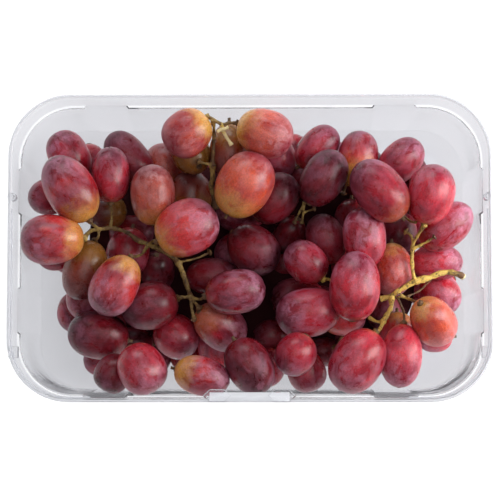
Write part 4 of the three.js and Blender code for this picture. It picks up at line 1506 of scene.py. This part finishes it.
@dataclass
class BerryShape:
    """The hand-modelled shape that every grape is a copy of, on a unit ball with its stem end up."""

    segments: int = 40
    rings: int = 24
    dimple_steps: tuple[tuple[float, float], ...] = ((0.03, -0.012), (0.025, -0.022), (0.025, -0.020))
    nub_steps: tuple[tuple[float, float], ...] = ((0.04, -0.004), (0.035, -0.010))

    def build(self) -> Shape:
        """Models the shape and takes off its points and faces."""
        deselect_all()
        bpy.ops.mesh.primitive_uv_sphere_add(segments=self.segments, ring_count=self.rings, radius=1)
        piece = bpy.context.object
        first_ring = math.cos(1.5 * math.pi / self.rings)
        with editing(piece):
            pick_faces(piece, lambda middle, normal: middle.z > first_ring)
            inset_steps(self.dimple_steps)
            pick_faces(piece, lambda middle, normal: middle.z < -first_ring)
            inset_steps(self.nub_steps)
        return taken_off(piece)


@dataclass
class Grapes:
    """All the grapes, one joined piece for each kind of skin, over a core painted near black as the shade
    deep in the heap.
    """

    heap: Heap
    effects: Effects
    draw: SeededDraw = field(default_factory=lambda: SeededDraw(23))
    core_size: Point = (138 * MM, 78 * MM, 20 * MM)
    core_middle: float = 14 * MM
    core_boxiness: float = 0.55
    # Near black: painted shade for the dark depths between and under the grapes.
    core_shade: PlainFinish = PlainFinish("heap_shadow", (0.020, 0.006, 0.007), (0.045, 0.012, 0.014),
                                           specular=0.0)
    hidden_kinds: tuple[Skin, ...] = (PLUM, MAUVE, CRIMSON, MAUVE)
    fullness: tuple[float, float] = (2.02, 2.32)
    egg: tuple[float, float] = (-0.07, 0.04)
    most_swell: float = 1.25
    round_pole: float = 0.25
    lumpiness: float = 0.020
    lump_scale: float = 1.1
    lump_spread: float = 50
    skin_spread: float = 40
    ridges: float = 0.008
    ridge_counts: tuple[int, ...] = (2, 3, 5)
    tone_step: float = 0.1
    reach_step: float = 0.15
    waxed: tuple[float, float] = (0.55, 1.25)

    def lay(self) -> list[Berry]:
        """Lays the berries that show and the ones under them."""
        shown = self.heap.settle([*TOP_BERRIES, *MIDDLE_BERRIES, *DEEP_BERRIES])
        hidden = self.heap.fill_under(shown)
        for berry, kind in zip(hidden, cycle(self.hidden_kinds)):
            berry.skin = kind
        LOG.info("%d berries show and %d lie under them", len(shown), len(hidden))
        return [*shown, *hidden]

    def shaped(self, points: np.ndarray) -> np.ndarray:
        """One grape's own uneven shape on the unit ball.

        Args:
            points: The modelled shape's points.

        Returns:
            The points, fuller or slimmer, a little egg-shaped, lumpy and ridged.
        """
        fullness = self.draw.between(*self.fullness)
        egg = self.draw.between(*self.egg)
        offset = Vector((self.draw(), self.draw(), self.draw())) * self.lump_spread
        phases = [TURN * self.draw() for _ in self.ridge_counts]
        along = np.clip(points[:, 2], -1, 1)
        across = np.hypot(points[:, 0], points[:, 1])
        round_radius = np.sqrt(np.maximum(1 - along**2, 1e-9))
        full_radius = np.maximum(1 - np.abs(along) ** fullness, 0) ** (1 / fullness)
        near_pole = np.clip(across / self.round_pole, 0, 1)
        swell = 1 + near_pole * (full_radius / round_radius - 1)
        swell = np.clip(swell, 1, self.most_swell) * (1 + egg * along)
        around = np.arctan2(points[:, 1], points[:, 0])
        for count, phase in zip(self.ridge_counts, phases):
            swell += self.ridges * np.cos(count * around + phase) * near_pole
        lumps = [noise.noise(Vector(p) * self.lump_scale + offset) for p in points]
        swell += self.lumpiness * np.array(lumps)
        shaped = points.copy()
        shaped[:, :2] *= swell[:, None]
        return shaped

    def grape_points(self, berry: Berry, shaped: np.ndarray) -> np.ndarray:
        """Puts a unit shape in its berry's place.

        Args:
            berry: The berry.
            shaped: Its points on the unit ball.

        Returns:
            The points in the tray.
        """
        turn = Quaternion(UP, TURN * self.draw())
        aim = UP.rotation_difference(Vector(berry.axis))
        matrix = np.array((aim @ turn).to_matrix())
        sized = shaped * np.array([berry.radius, berry.radius, berry.half_length])
        return sized @ matrix.T + berry.centre

    def build_kind(self, kind: Skin, berries: list[Berry], shape: Shape) -> bpy.types.Object:
        """Makes the joined piece of one kind of grape.

        Args:
            kind: The kind of skin.
            berries: The berries of that kind.
            shape: The modelled shape's points and faces.

        Returns:
            The piece, with the places and values that its skin reads.
        """
        points, faces = shape
        shapes, skin_at = [], []
        values = {"stem_end": [], "ripe": [], "turned": [], "waxed": []}
        for berry in berries:
            shaped = self.shaped(points)
            shapes.append((self.grape_points(berry, shaped), faces))
            own = np.array([self.draw(), self.draw(), self.draw()]) * self.skin_spread
            skin_at.append(shaped * np.array([1, 1, berry.half_length / berry.radius]) + own)
            values["stem_end"].append(points[:, 2])
            values["ripe"].append(np.full(len(points), 0.5 + self.tone_step * berry.tone))
            values["turned"].append(np.full(len(points), self.reach_step * berry.reach))
            values["waxed"].append(np.full(len(points), self.draw.between(*self.waxed)))
        piece = mesh_piece("berries_" + kind.value, shapes)
        store(piece, "skin_at", "FLOAT_VECTOR", np.concatenate(skin_at))
        for name, numbers in values.items():
            store(piece, name, "FLOAT", np.concatenate(numbers))
        piece.data.materials.append(FINISHES[kind].build(self.effects))
        return hand_over(piece, ["grapes"])

    def build_core(self) -> bpy.types.Object:
        """Makes the heart of the heap, painted near black as shade, which closes the gaps between the grapes.
        """
        deselect_all()
        bpy.ops.mesh.primitive_ico_sphere_add(subdivisions=4, radius=1)
        piece = bpy.context.object
        piece.name = piece.data.name = "heap_core"
        for point in piece.data.vertices:
            swollen = [math.copysign(abs(v) ** self.core_boxiness, v) for v in point.co]
            place = [s * size / 2 for s, size in zip(swollen, self.core_size)]
            point.co = (place[0], place[1], place[2] + self.core_middle)
        piece.data.shade_smooth()
        piece.data.materials.append(self.core_shade.build(self.effects))
        return hand_over(piece, ["grapes"])

    def build(self) -> list[Berry]:
        """Makes every piece of the heap.

        Returns:
            The berries, for the stems to reach.
        """
        berries = self.lay()
        shape = BerryShape().build()
        for kind in Skin:
            self.build_kind(kind, [b for b in berries if b.skin is kind], shape)
        self.build_core()
        return berries


# ---- Stems --------------------------------------------------------------------


class End(Enum):
    """How a branch of a stem ends."""

    NODE = "runs into another branch"
    CAP = "holds a grape by a warty disc"
    BARE = "keeps the disc of a grape that fell"
    CUT = "is cut off"


NODE, CAP, BARE, CUT = End
WIDE_DISC = 1.45 * MM
SMALL_DISC = 1.1 * MM


@dataclass(frozen=True)
class Branch:
    """One branch: its radius, its places as seen with true heights, its ends and its age."""

    radius: float
    places: tuple[Point, ...]
    end: End = CAP
    start: End = NODE
    age: float = 0.60
    end_age: float = 0.85


STEM_LEFT = [
    Branch(1, ((-66, 5.5, 54), (-62.5, 6.3, 50), (-59, 7, 47), (-54.5, 7.5, 45), (-48.5, 6, 44),
               (-43.5, 2.5, 44)), NODE, CAP),
    Branch(1.1, ((-43.5, 2.5, 44), (-39.5, 1, 44), (-35, -1, 43.5), (-30, -4, 43), (-28, -6, 43)), NODE),
    Branch(1.1, ((-28, -6, 43), (-26.5, -9, 44), (-24.5, -15, 46), (-23, -19.5, 48)), NODE),
    Branch(0.7, ((-59, 7, 47), (-61.5, 9, 51), (-63, 11.5, 53))),
    Branch(0.7, ((-59, 7, 47), (-59.3, 4, 47), (-60, 0.5, 46))),
    Branch(0.7, ((-54.5, 7.5, 45), (-54, 12, 47), (-53.5, 17.5, 50))),
    Branch(0.7, ((-39.5, 1, 44), (-37.5, 2.5, 48), (-35.5, 3.5, 54))),
    Branch(0.7, ((-39.5, 1, 44), (-42.5, -3, 48), (-45.5, -5.5, 53))),
    Branch(0.5, ((-28, -6, 43), (-23, -5, 43), (-19.5, -4, 42), (-15.5, -2, 41)), BARE),
    Branch(0.8, ((-23, -19.5, 48), (-26.5, -19.7, 48), (-30.5, -20.3, 48.5))),
    Branch(0.7, ((-23, -19.5, 48), (-19.5, -20.5, 51), (-16.5, -19, 54))),
    Branch(0.7, ((-23, -19.5, 48), (-19.5, -24, 51)), BARE),
    Branch(0.8, ((-23, -19.5, 48), (-22.5, -24, 49), (-21.5, -28.5, 50)), BARE),
]
STEM_FAR = [
    Branch(0.8, ((-16, 52, 61), (-14.5, 50.5, 59.5), (-11, 48.5, 57.5), (-7.5, 49, 57), (-5, 50, 58)),
           CAP, CAP),
    Branch(0.9, ((-14.5, 50.5, 59.5), (-14, 47, 56), (-14, 43, 53), (-14.5, 32.5, 50)), NODE),
    Branch(1.2, ((-14.5, 32.5, 50), (-14.5, 27, 48), (-15, 24, 46), (-13, 15, 43)), NODE),
    Branch(0.7, ((-14.5, 32.5, 50), (-18, 33, 50.5), (-20, 33.7, 50)), BARE),
    Branch(0.8, ((-11, 48.5, 57.5), (-10, 45, 56), (-7, 40, 55)), CUT, NODE, 0.1, -1.2),
    Branch(0.6, ((-10.6, 46.6, 57), (-12.8, 45.4, 57)), CUT, NODE, -0.5, -0.7),
    Branch(0.6, ((-10.4, 46.2, 57), (-8.2, 47.2, 57)), CUT, NODE, -0.5, -0.7),
]
STEM_MIDDLE = [
    Branch(0.6, ((21.5, 17.5, 41), (19.5, 13.5, 39), (17.5, 9.5, 37)), BARE),
    Branch(0.6, ((21.5, 17.5, 41), (21, 12.5, 39), (20.5, 9.5, 37)), BARE),
    Branch(0.5, ((21.3, 13.5, 40), (25.5, 15, 42)), BARE),
]
STEM_RIGHT = [
    Branch(1.2, ((51, -20.5, 44), (55.5, -19, 45), (58.5, -17, 46), (64.5, -13.5, 46)), NODE, NODE, 0.3, 0.1),
    Branch(1.4, ((64.5, -13.5, 46), (70.5, -12, 45), (74, -10.5, 44), (78, -10, 43), (82, -11, 42),
                 (83.5, -12, 41)), CUT, NODE, 0.0, 1.3),
    Branch(0.9, ((64.5, -13.5, 46), (63.5, -8, 48), (63.5, -3, 48), (64, 1.5, 48), (65.5, 9.5, 49)),
           CAP, NODE, 0.25, 0.55),
    Branch(0.6, ((64, 1.5, 48), (63, 4.5, 46), (61, 6, 45)), BARE, NODE, 0.4, 0.7),
    Branch(0.6, ((65.5, 9.5, 49), (63, 10, 48), (59.5, 13, 47)), CAP, NODE, 0.6, 0.9),
    Branch(0.7, ((63.7, -1, 48), (68.5, 1.5, 49), (72.5, 4, 50)), CAP, NODE, 0.3, 0.9),
    Branch(1.2, ((55.5, -19.5, 45), (55, -24, 45), (53, -27.5, 46), (52, -29.5, 48)), NODE, NODE, 0.25, 0.2),
    Branch(0.9, ((52, -29.5, 48), (50.5, -32.5, 51), (49, -35, 54)), CAP, NODE, 0.2, 0.6),
    Branch(0.7, ((52, -29.5, 48), (49, -29, 46), (46.5, -27.5, 45)), NODE, NODE, 0.1, 0.3),
    Branch(0.7, ((58.5, -19, 45.5), (62.5, -20.5, 47), (64.5, -22, 50)), CAP, NODE, 0.4, 1.2),
    Branch(0.6, ((57.5, -19.5, 45), (60, -25.5, 44), (59.5, -29, 43)), CAP, NODE, 0.9, 1.2),
    # This thin branch runs under the main one; its bark is set dry and dark, which paints in the shade that
    # the main branch casts on it.
    Branch(0.5, ((71, -12.5, 44.5), (66.5, -17, 44), (61.5, -19.5, 46)), NODE, NODE, 0.9, 0.9),
]
LOOSE_STALKS = [
    Branch(0.6, ((41, 24.5, 38), (38.5, 24.8, 40), (36.8, 21, 38)), BARE, CAP, 0.8, 0.9),
    Branch(0.7, ((28.8, -11.5, 51), (31, -12.8, 48), (33, -14, 43)), NODE, CAP, 0.1, 0.3),
    Branch(0.5, ((36, -35.1, 40), (34.5, -37.5, 38), (33.3, -39.4, 35)), BARE, NODE, 0.8, 1.0),
]


@dataclass
class Stem:
    """One stem of a bunch: branches with swollen joints and warty discs, merged into one skin."""

    name: str
    branches: list[Branch]
    eye: Eye
    disc_radius: float
    steps: int = 6
    voxel: float = 0.24 * MM
    swelling: float = 0.45
    swollen_over: float = 1.5 * MM
    disc_balls: tuple[tuple[int, float, float, float, float], ...] = (
        (1, 0.0, 1.0, 0.1, 0.42), (7, 0.82, 0.34, 0.15, 0.8), (4, 0.3, 0.42, -0.2, 0.8),
    )
    snap: float = 5 * MM
    taken_penalty: float = 1.0
    sides: int = 12
    roughness: float = 0.16 * MM
    bump_scales: tuple[float, float] = (700, 1900)
    slimness: float = 0.86
    unevenness: float = 0.30
    uneven_scale: float = 450
    cut_age: float = -0.5
    cut_over: float = 0.8 * MM

    def path(self, branch: Branch, berries: list[Berry], taken: set[int]) -> list[Vector]:
        """A branch's middle line, with an end that holds a grape drawn to the grape's stem end.

        Args:
            branch: The branch.
            berries: All the berries.
            taken: The berries that hang on a stem already, added to here.

        Returns:
            The smooth line's points.
        """
        places = [Vector(self.eye.place(x * MM, y * MM, z * MM)) for x, y, z in branch.places]
        for index, end in ((0, branch.start), (-1, branch.end)):
            if end is CAP:
                seen = self.eye.seen(places[index])
                away = [math.dist(self.eye.seen(berry.stem_end), seen) for berry in berries]
                best = min(range(len(berries)), key=lambda i: away[i]
                           + (self.taken_penalty if i in taken or berries[i].outline is None else 0))
                if away[best] < self.snap:
                    taken.add(best)
                    places[index] = Vector(berries[best].stem_end)
        return smooth_line(places, self.steps)

    def radii(self, branch: Branch, line: list[Vector]) -> list[float]:
        """The branch's radius along its line, swollen towards both ends."""
        lengths = [0.0]
        for before, after in zip(line, line[1:]):
            lengths.append(lengths[-1] + (after - before).length)
        radii = []
        for length, place in zip(lengths, line):
            from_end = min(length, lengths[-1] - length) / self.swollen_over
            uneven = 1 + self.unevenness * noise.noise(place * self.uneven_scale)
            swollen = 1 + self.swelling * math.exp(-from_end**2)
            radii.append(branch.radius * self.slimness * MM * uneven * swollen)
        return radii

    def disc(self, place: Vector, outwards: Vector) -> list[bpy.types.Object]:
        """The warty disc that a grape hangs on, as overlapping flat balls."""
        aim = UP.rotation_difference(outwards)
        parts = []
        for count, radius, size, back, flatness in self.disc_balls:
            for k in range(count):
                angle = TURN * (k + 0.3 * count) / count
                around = Vector((math.cos(angle), math.sin(angle), 0)) * radius * self.disc_radius
                centre = place + aim @ (around - Vector((0, 0, back * self.disc_radius)))
                deselect_all()
                bpy.ops.mesh.primitive_ico_sphere_add(subdivisions=2, radius=self.disc_radius * size,
                                                      location=centre)
                bpy.context.object.rotation_mode = "QUATERNION"
                bpy.context.object.rotation_quaternion = aim
                parts.append(sized_piece((1, 1, flatness)))
        return parts

    def build(self, berries: list[Berry], taken: set[int]) -> bpy.types.Object:
        """Makes the stem.

        Args:
            berries: All the berries.
            taken: The berries that hang on a stem already, added to here.

        Returns:
            The stem's piece, without a material.
        """
        parts: list[bpy.types.Object] = []
        trail: list[tuple[Vector, float]] = []
        for branch in self.branches:
            line = self.path(branch, berries, taken)
            parts.append(tube("branch", line, self.radii(branch, line), self.sides))
            for i, place in enumerate(line):
                share = i / (len(line) - 1)
                is_cut = i > 0 and branch.end is CUT and (place - line[-1]).length < self.cut_over
                trail.append((place, self.cut_age if is_cut
                              else branch.age + (branch.end_age - branch.age) * share**2))
            if branch.end in (CAP, BARE):
                parts += self.disc(line[-1], (line[-1] - line[-3]).normalized())
            if branch.start is CAP:
                parts += self.disc(line[0], (line[0] - line[2]).normalized())
        piece = join(parts, self.name)
        finish_with(piece, "REMESH", mode="VOXEL", voxel_size=self.voxel)
        finish_with(piece, "SMOOTH", factor=0.5, iterations=2)
        self.roughen(piece)
        self.store_age(piece, trail)
        piece.data.shade_smooth()
        piece.data.materials.clear()
        return piece

    def roughen(self, piece: bpy.types.Object) -> None:
        """Gives the skin its small bumps and hollows."""
        normals = [v.normal.copy() for v in piece.data.vertices]
        for point, normal in zip(piece.data.vertices, normals):
            coarse, fine = (noise.noise(point.co * scale) for scale in self.bump_scales)
            point.co += normal * self.roughness * (coarse + 0.5 * fine)

    def store_age(self, piece: bpy.types.Object, trail: list[tuple[Vector, float]]) -> None:
        """Stores how dry the bark is at each vertex, from the nearest place along the branches."""
        tree = kdtree.KDTree(len(trail))
        for i, (place, _) in enumerate(trail):
            tree.insert(place, i)
        tree.balance()
        store(piece, "age", "FLOAT", np.array([trail[tree.find(v.co)[1]][1] for v in piece.data.vertices]))


def smooth_line(places: Sequence[Vector], steps: int) -> list[Vector]:
    """A smooth line through places.

    Args:
        places: The places, at least two.
        steps: How many stretches lie between two places.

    Returns:
        The line's points, the places among them.
    """
    ends = [places[0] * 2 - places[1], *places, places[-1] * 2 - places[-2]]
    line = []
    for a, b, c, d in zip(ends, ends[1:], ends[2:], ends[3:]):
        for step in range(steps):
            t = step / steps
            line.append(0.5 * (2 * b + (c - a) * t + (2 * a - 5 * b + 4 * c - d) * t**2
                               + (3 * b - a - 3 * c + d) * t**3))
    return [*line, places[-1].copy()]


@dataclass
class Scars:
    """The small brown ring at every stem end that hangs on no stem that shows."""

    effects: Effects
    finish: WoodFinish = WoodFinish("scar_bark", (0.30, 0.19, 0.06), (0.13, 0.07, 0.03))
    ring_radius: float = 1.25 * MM
    ring_depth: float = 0.7 * MM
    ring_step: tuple[float, float] = (0.35 * MM, 0.12 * MM)
    hollow_steps: tuple[tuple[float, float], ...] = ((0.25 * MM, -0.35 * MM), (0.28 * MM, 0.25 * MM))
    stub_foot: tuple[float, float] = (0.25 * MM, 0.10 * MM)
    stub_length: float = 1.3 * MM
    stub_tip: float = 0.12 * MM
    sides: int = 14
    sunk: float = 0.25 * MM
    unevenness: float = 0.14
    uneven_scale: float = 900
    stubless_lean: float = 0.2
    age: float = 0.9

    def ring(self, with_stub: bool) -> Shape:
        """Models one ring, hollow or with a short stub of stalk in it.

        Args:
            with_stub: Whether a stub stands in the ring.

        Returns:
            The points about the stem end, with the way out along +Z, and the faces.
        """
        deselect_all()
        bpy.ops.mesh.primitive_cylinder_add(vertices=self.sides, radius=self.ring_radius,
                                            depth=self.ring_depth)
        piece = bpy.context.object
        with editing(piece):
            pick_faces(piece, lambda middle, normal: normal.z > TOP_FACE)
            if with_stub:
                inset_steps((self.ring_step, self.stub_foot))
                bpy.ops.mesh.extrude_region_move()
                move(z=self.stub_length)
                inset_steps(((self.stub_tip, 0.0),))
            else:
                inset_steps((self.ring_step, *self.hollow_steps))
        return taken_off(piece)

    def build(self, berries: list[Berry], taken: set[int]) -> bpy.types.Object:
        """Makes the rings of all the berries that no stem has taken.

        Args:
            berries: All the berries.
            taken: The berries that hang on a stem.

        Returns:
            The joined piece.
        """
        rings = [self.ring(False), self.ring(True)]
        shapes = []
        for i, berry in enumerate(berries):
            if i in taken:
                continue
            points, faces = rings[0 if berry.lean > self.stubless_lean else i % 2]
            aim = np.array(UP.rotation_difference(Vector(berry.axis)).to_matrix())
            own = Vector((i, 0, 0))
            uneven = [1 + self.unevenness * noise.noise(Vector(p) * self.uneven_scale + own) for p in points]
            placed = points * np.array(uneven)[:, None] @ aim.T + berry.stem_end - berry.axis * self.sunk
            shapes.append((placed, faces))
        piece = mesh_piece("berry_scars", shapes)
        store(piece, "age", "FLOAT", np.full(len(piece.data.vertices), self.age))
        piece.data.materials.append(self.finish.build(self.effects))
        return hand_over(piece, ["grapes"])


# ---- Surroundings -------------------------------------------------------------


@dataclass(frozen=True)
class SoftLight:
    """One large soft lamp that looks at the middle of the heap."""

    name: str
    place: Point
    size: tuple[float, float]
    power: float
    colour: Colour = (1.0, 1.0, 1.0)

    def build(self) -> None:
        """Sets the lamp up."""
        data = bpy.data.lights.new(self.name, "AREA")
        data.shape = "RECTANGLE"
        data.size, data.size_y = self.size
        data.energy = self.power
        data.color = self.colour
        lamp = bpy.data.objects.new(self.name, data)
        bpy.context.scene.collection.objects.link(lamp)
        lamp.location = self.place
        looks = Vector((0, 0, 0.04)) - lamp.location
        lamp.rotation_mode = "QUATERNION"
        lamp.rotation_quaternion = looks.to_track_quat("-Z", "Y")
        lamp.visible_camera = False


@dataclass
class Studio:
    """The pale floor, the soft lamps and the bright room round them."""

    effects: Effects
    lights: tuple[SoftLight, ...] = (
        SoftLight("window_right", (0.95, 0.10, 0.55), (0.55, 1.1), 13.0, (1.0, 0.985, 0.97)),
        SoftLight("window_far", (-0.15, 1.0, 0.60), (0.8, 0.5), 4.0, (0.90, 0.95, 1.0)),
        SoftLight("overhead", (0.1, 0.15, 1.25), (0.8, 0.8), 2.2),
    )
    room: Colour = (0.93, 0.95, 1.0)
    room_strength: float = 0.30
    floor_size: float = 4.0
    floor_z: float = -0.05 * MM
    floor_finish: PlainFinish = PlainFinish("floor_paper", (0.40, 0.40, 0.405), (0.42, 0.42, 0.42),
                                            roughness=0.9, scale=6.0, specular=0.1, glow=2.05)

    def build(self) -> None:
        """Makes the floor, the lamps and the room's light."""
        deselect_all()
        bpy.ops.mesh.primitive_plane_add(size=self.floor_size, location=(0, 0, self.floor_z))
        floor = sized_piece()
        floor.name = floor.data.name = "floor"
        floor.data.materials.append(self.floor_finish.build(self.effects))
        for light in self.lights:
            light.build()
        world = bpy.data.worlds.new("room")
        world.use_nodes = True
        back = world.node_tree.nodes["Background"]
        back.inputs["Color"].default_value = (*self.room, 1.0)
        back.inputs["Strength"].default_value = self.room_strength
        bpy.context.scene.world = world
        bpy.context.scene.view_settings.view_transform = "Standard"


def main() -> None:
    """Builds the punnet, piece by piece, and its surroundings."""
    logging.basicConfig(level=logging.INFO, format="%(name)s %(message)s")
    effects = Effects()
    eye = Eye()
    eye.make_camera()
    Studio(effects).build()
    tray = Tray()
    plastics = [finish.build(effects) for finish in (BASE_PLASTIC, WALL_PLASTIC, RIM_PLASTIC)]
    punnet = tray.build()
    for plastic in plastics:
        punnet.data.materials.append(plastic)
    hand_over(punnet, ["tray"])
    fittings = RimFittings(tray, BUTTON_PLASTIC.build(effects), plastics[-1], TAB_PLASTIC.build(effects))
    hand_over(fittings.build(), ["tray"])
    berries = Grapes(Heap(tray, eye), effects).build()
    taken: set[int] = set()
    for name, slot, nodes, branches, bark, disc_radius in (
        ("bunch_stem_left", "stem_brown", ["stem_left"], STEM_LEFT, BROWN_BARK, WIDE_DISC),
        ("bunch_stem_far", "stem_brown", ["stem_far"], STEM_FAR, BROWN_BARK, WIDE_DISC),
        ("bunch_stem_middle", "stem_brown", ["stem_middle"], STEM_MIDDLE, BROWN_BARK, SMALL_DISC),
        ("bunch_stem_right", "stem_green", ["stem_right"], STEM_RIGHT, GREEN_BARK, WIDE_DISC),
        ("loose_stalks", "grape_skin", ["grapes"], LOOSE_STALKS, GREEN_BARK, WIDE_DISC),
    ):
        stem = Stem(name, branches, eye, disc_radius).build(berries, taken)
        stem.data.materials.append(bark.build(effects))
        hand_over(stem, nodes)
    Scars(effects).build(berries, taken)


if __name__ == "__main__":
    main()
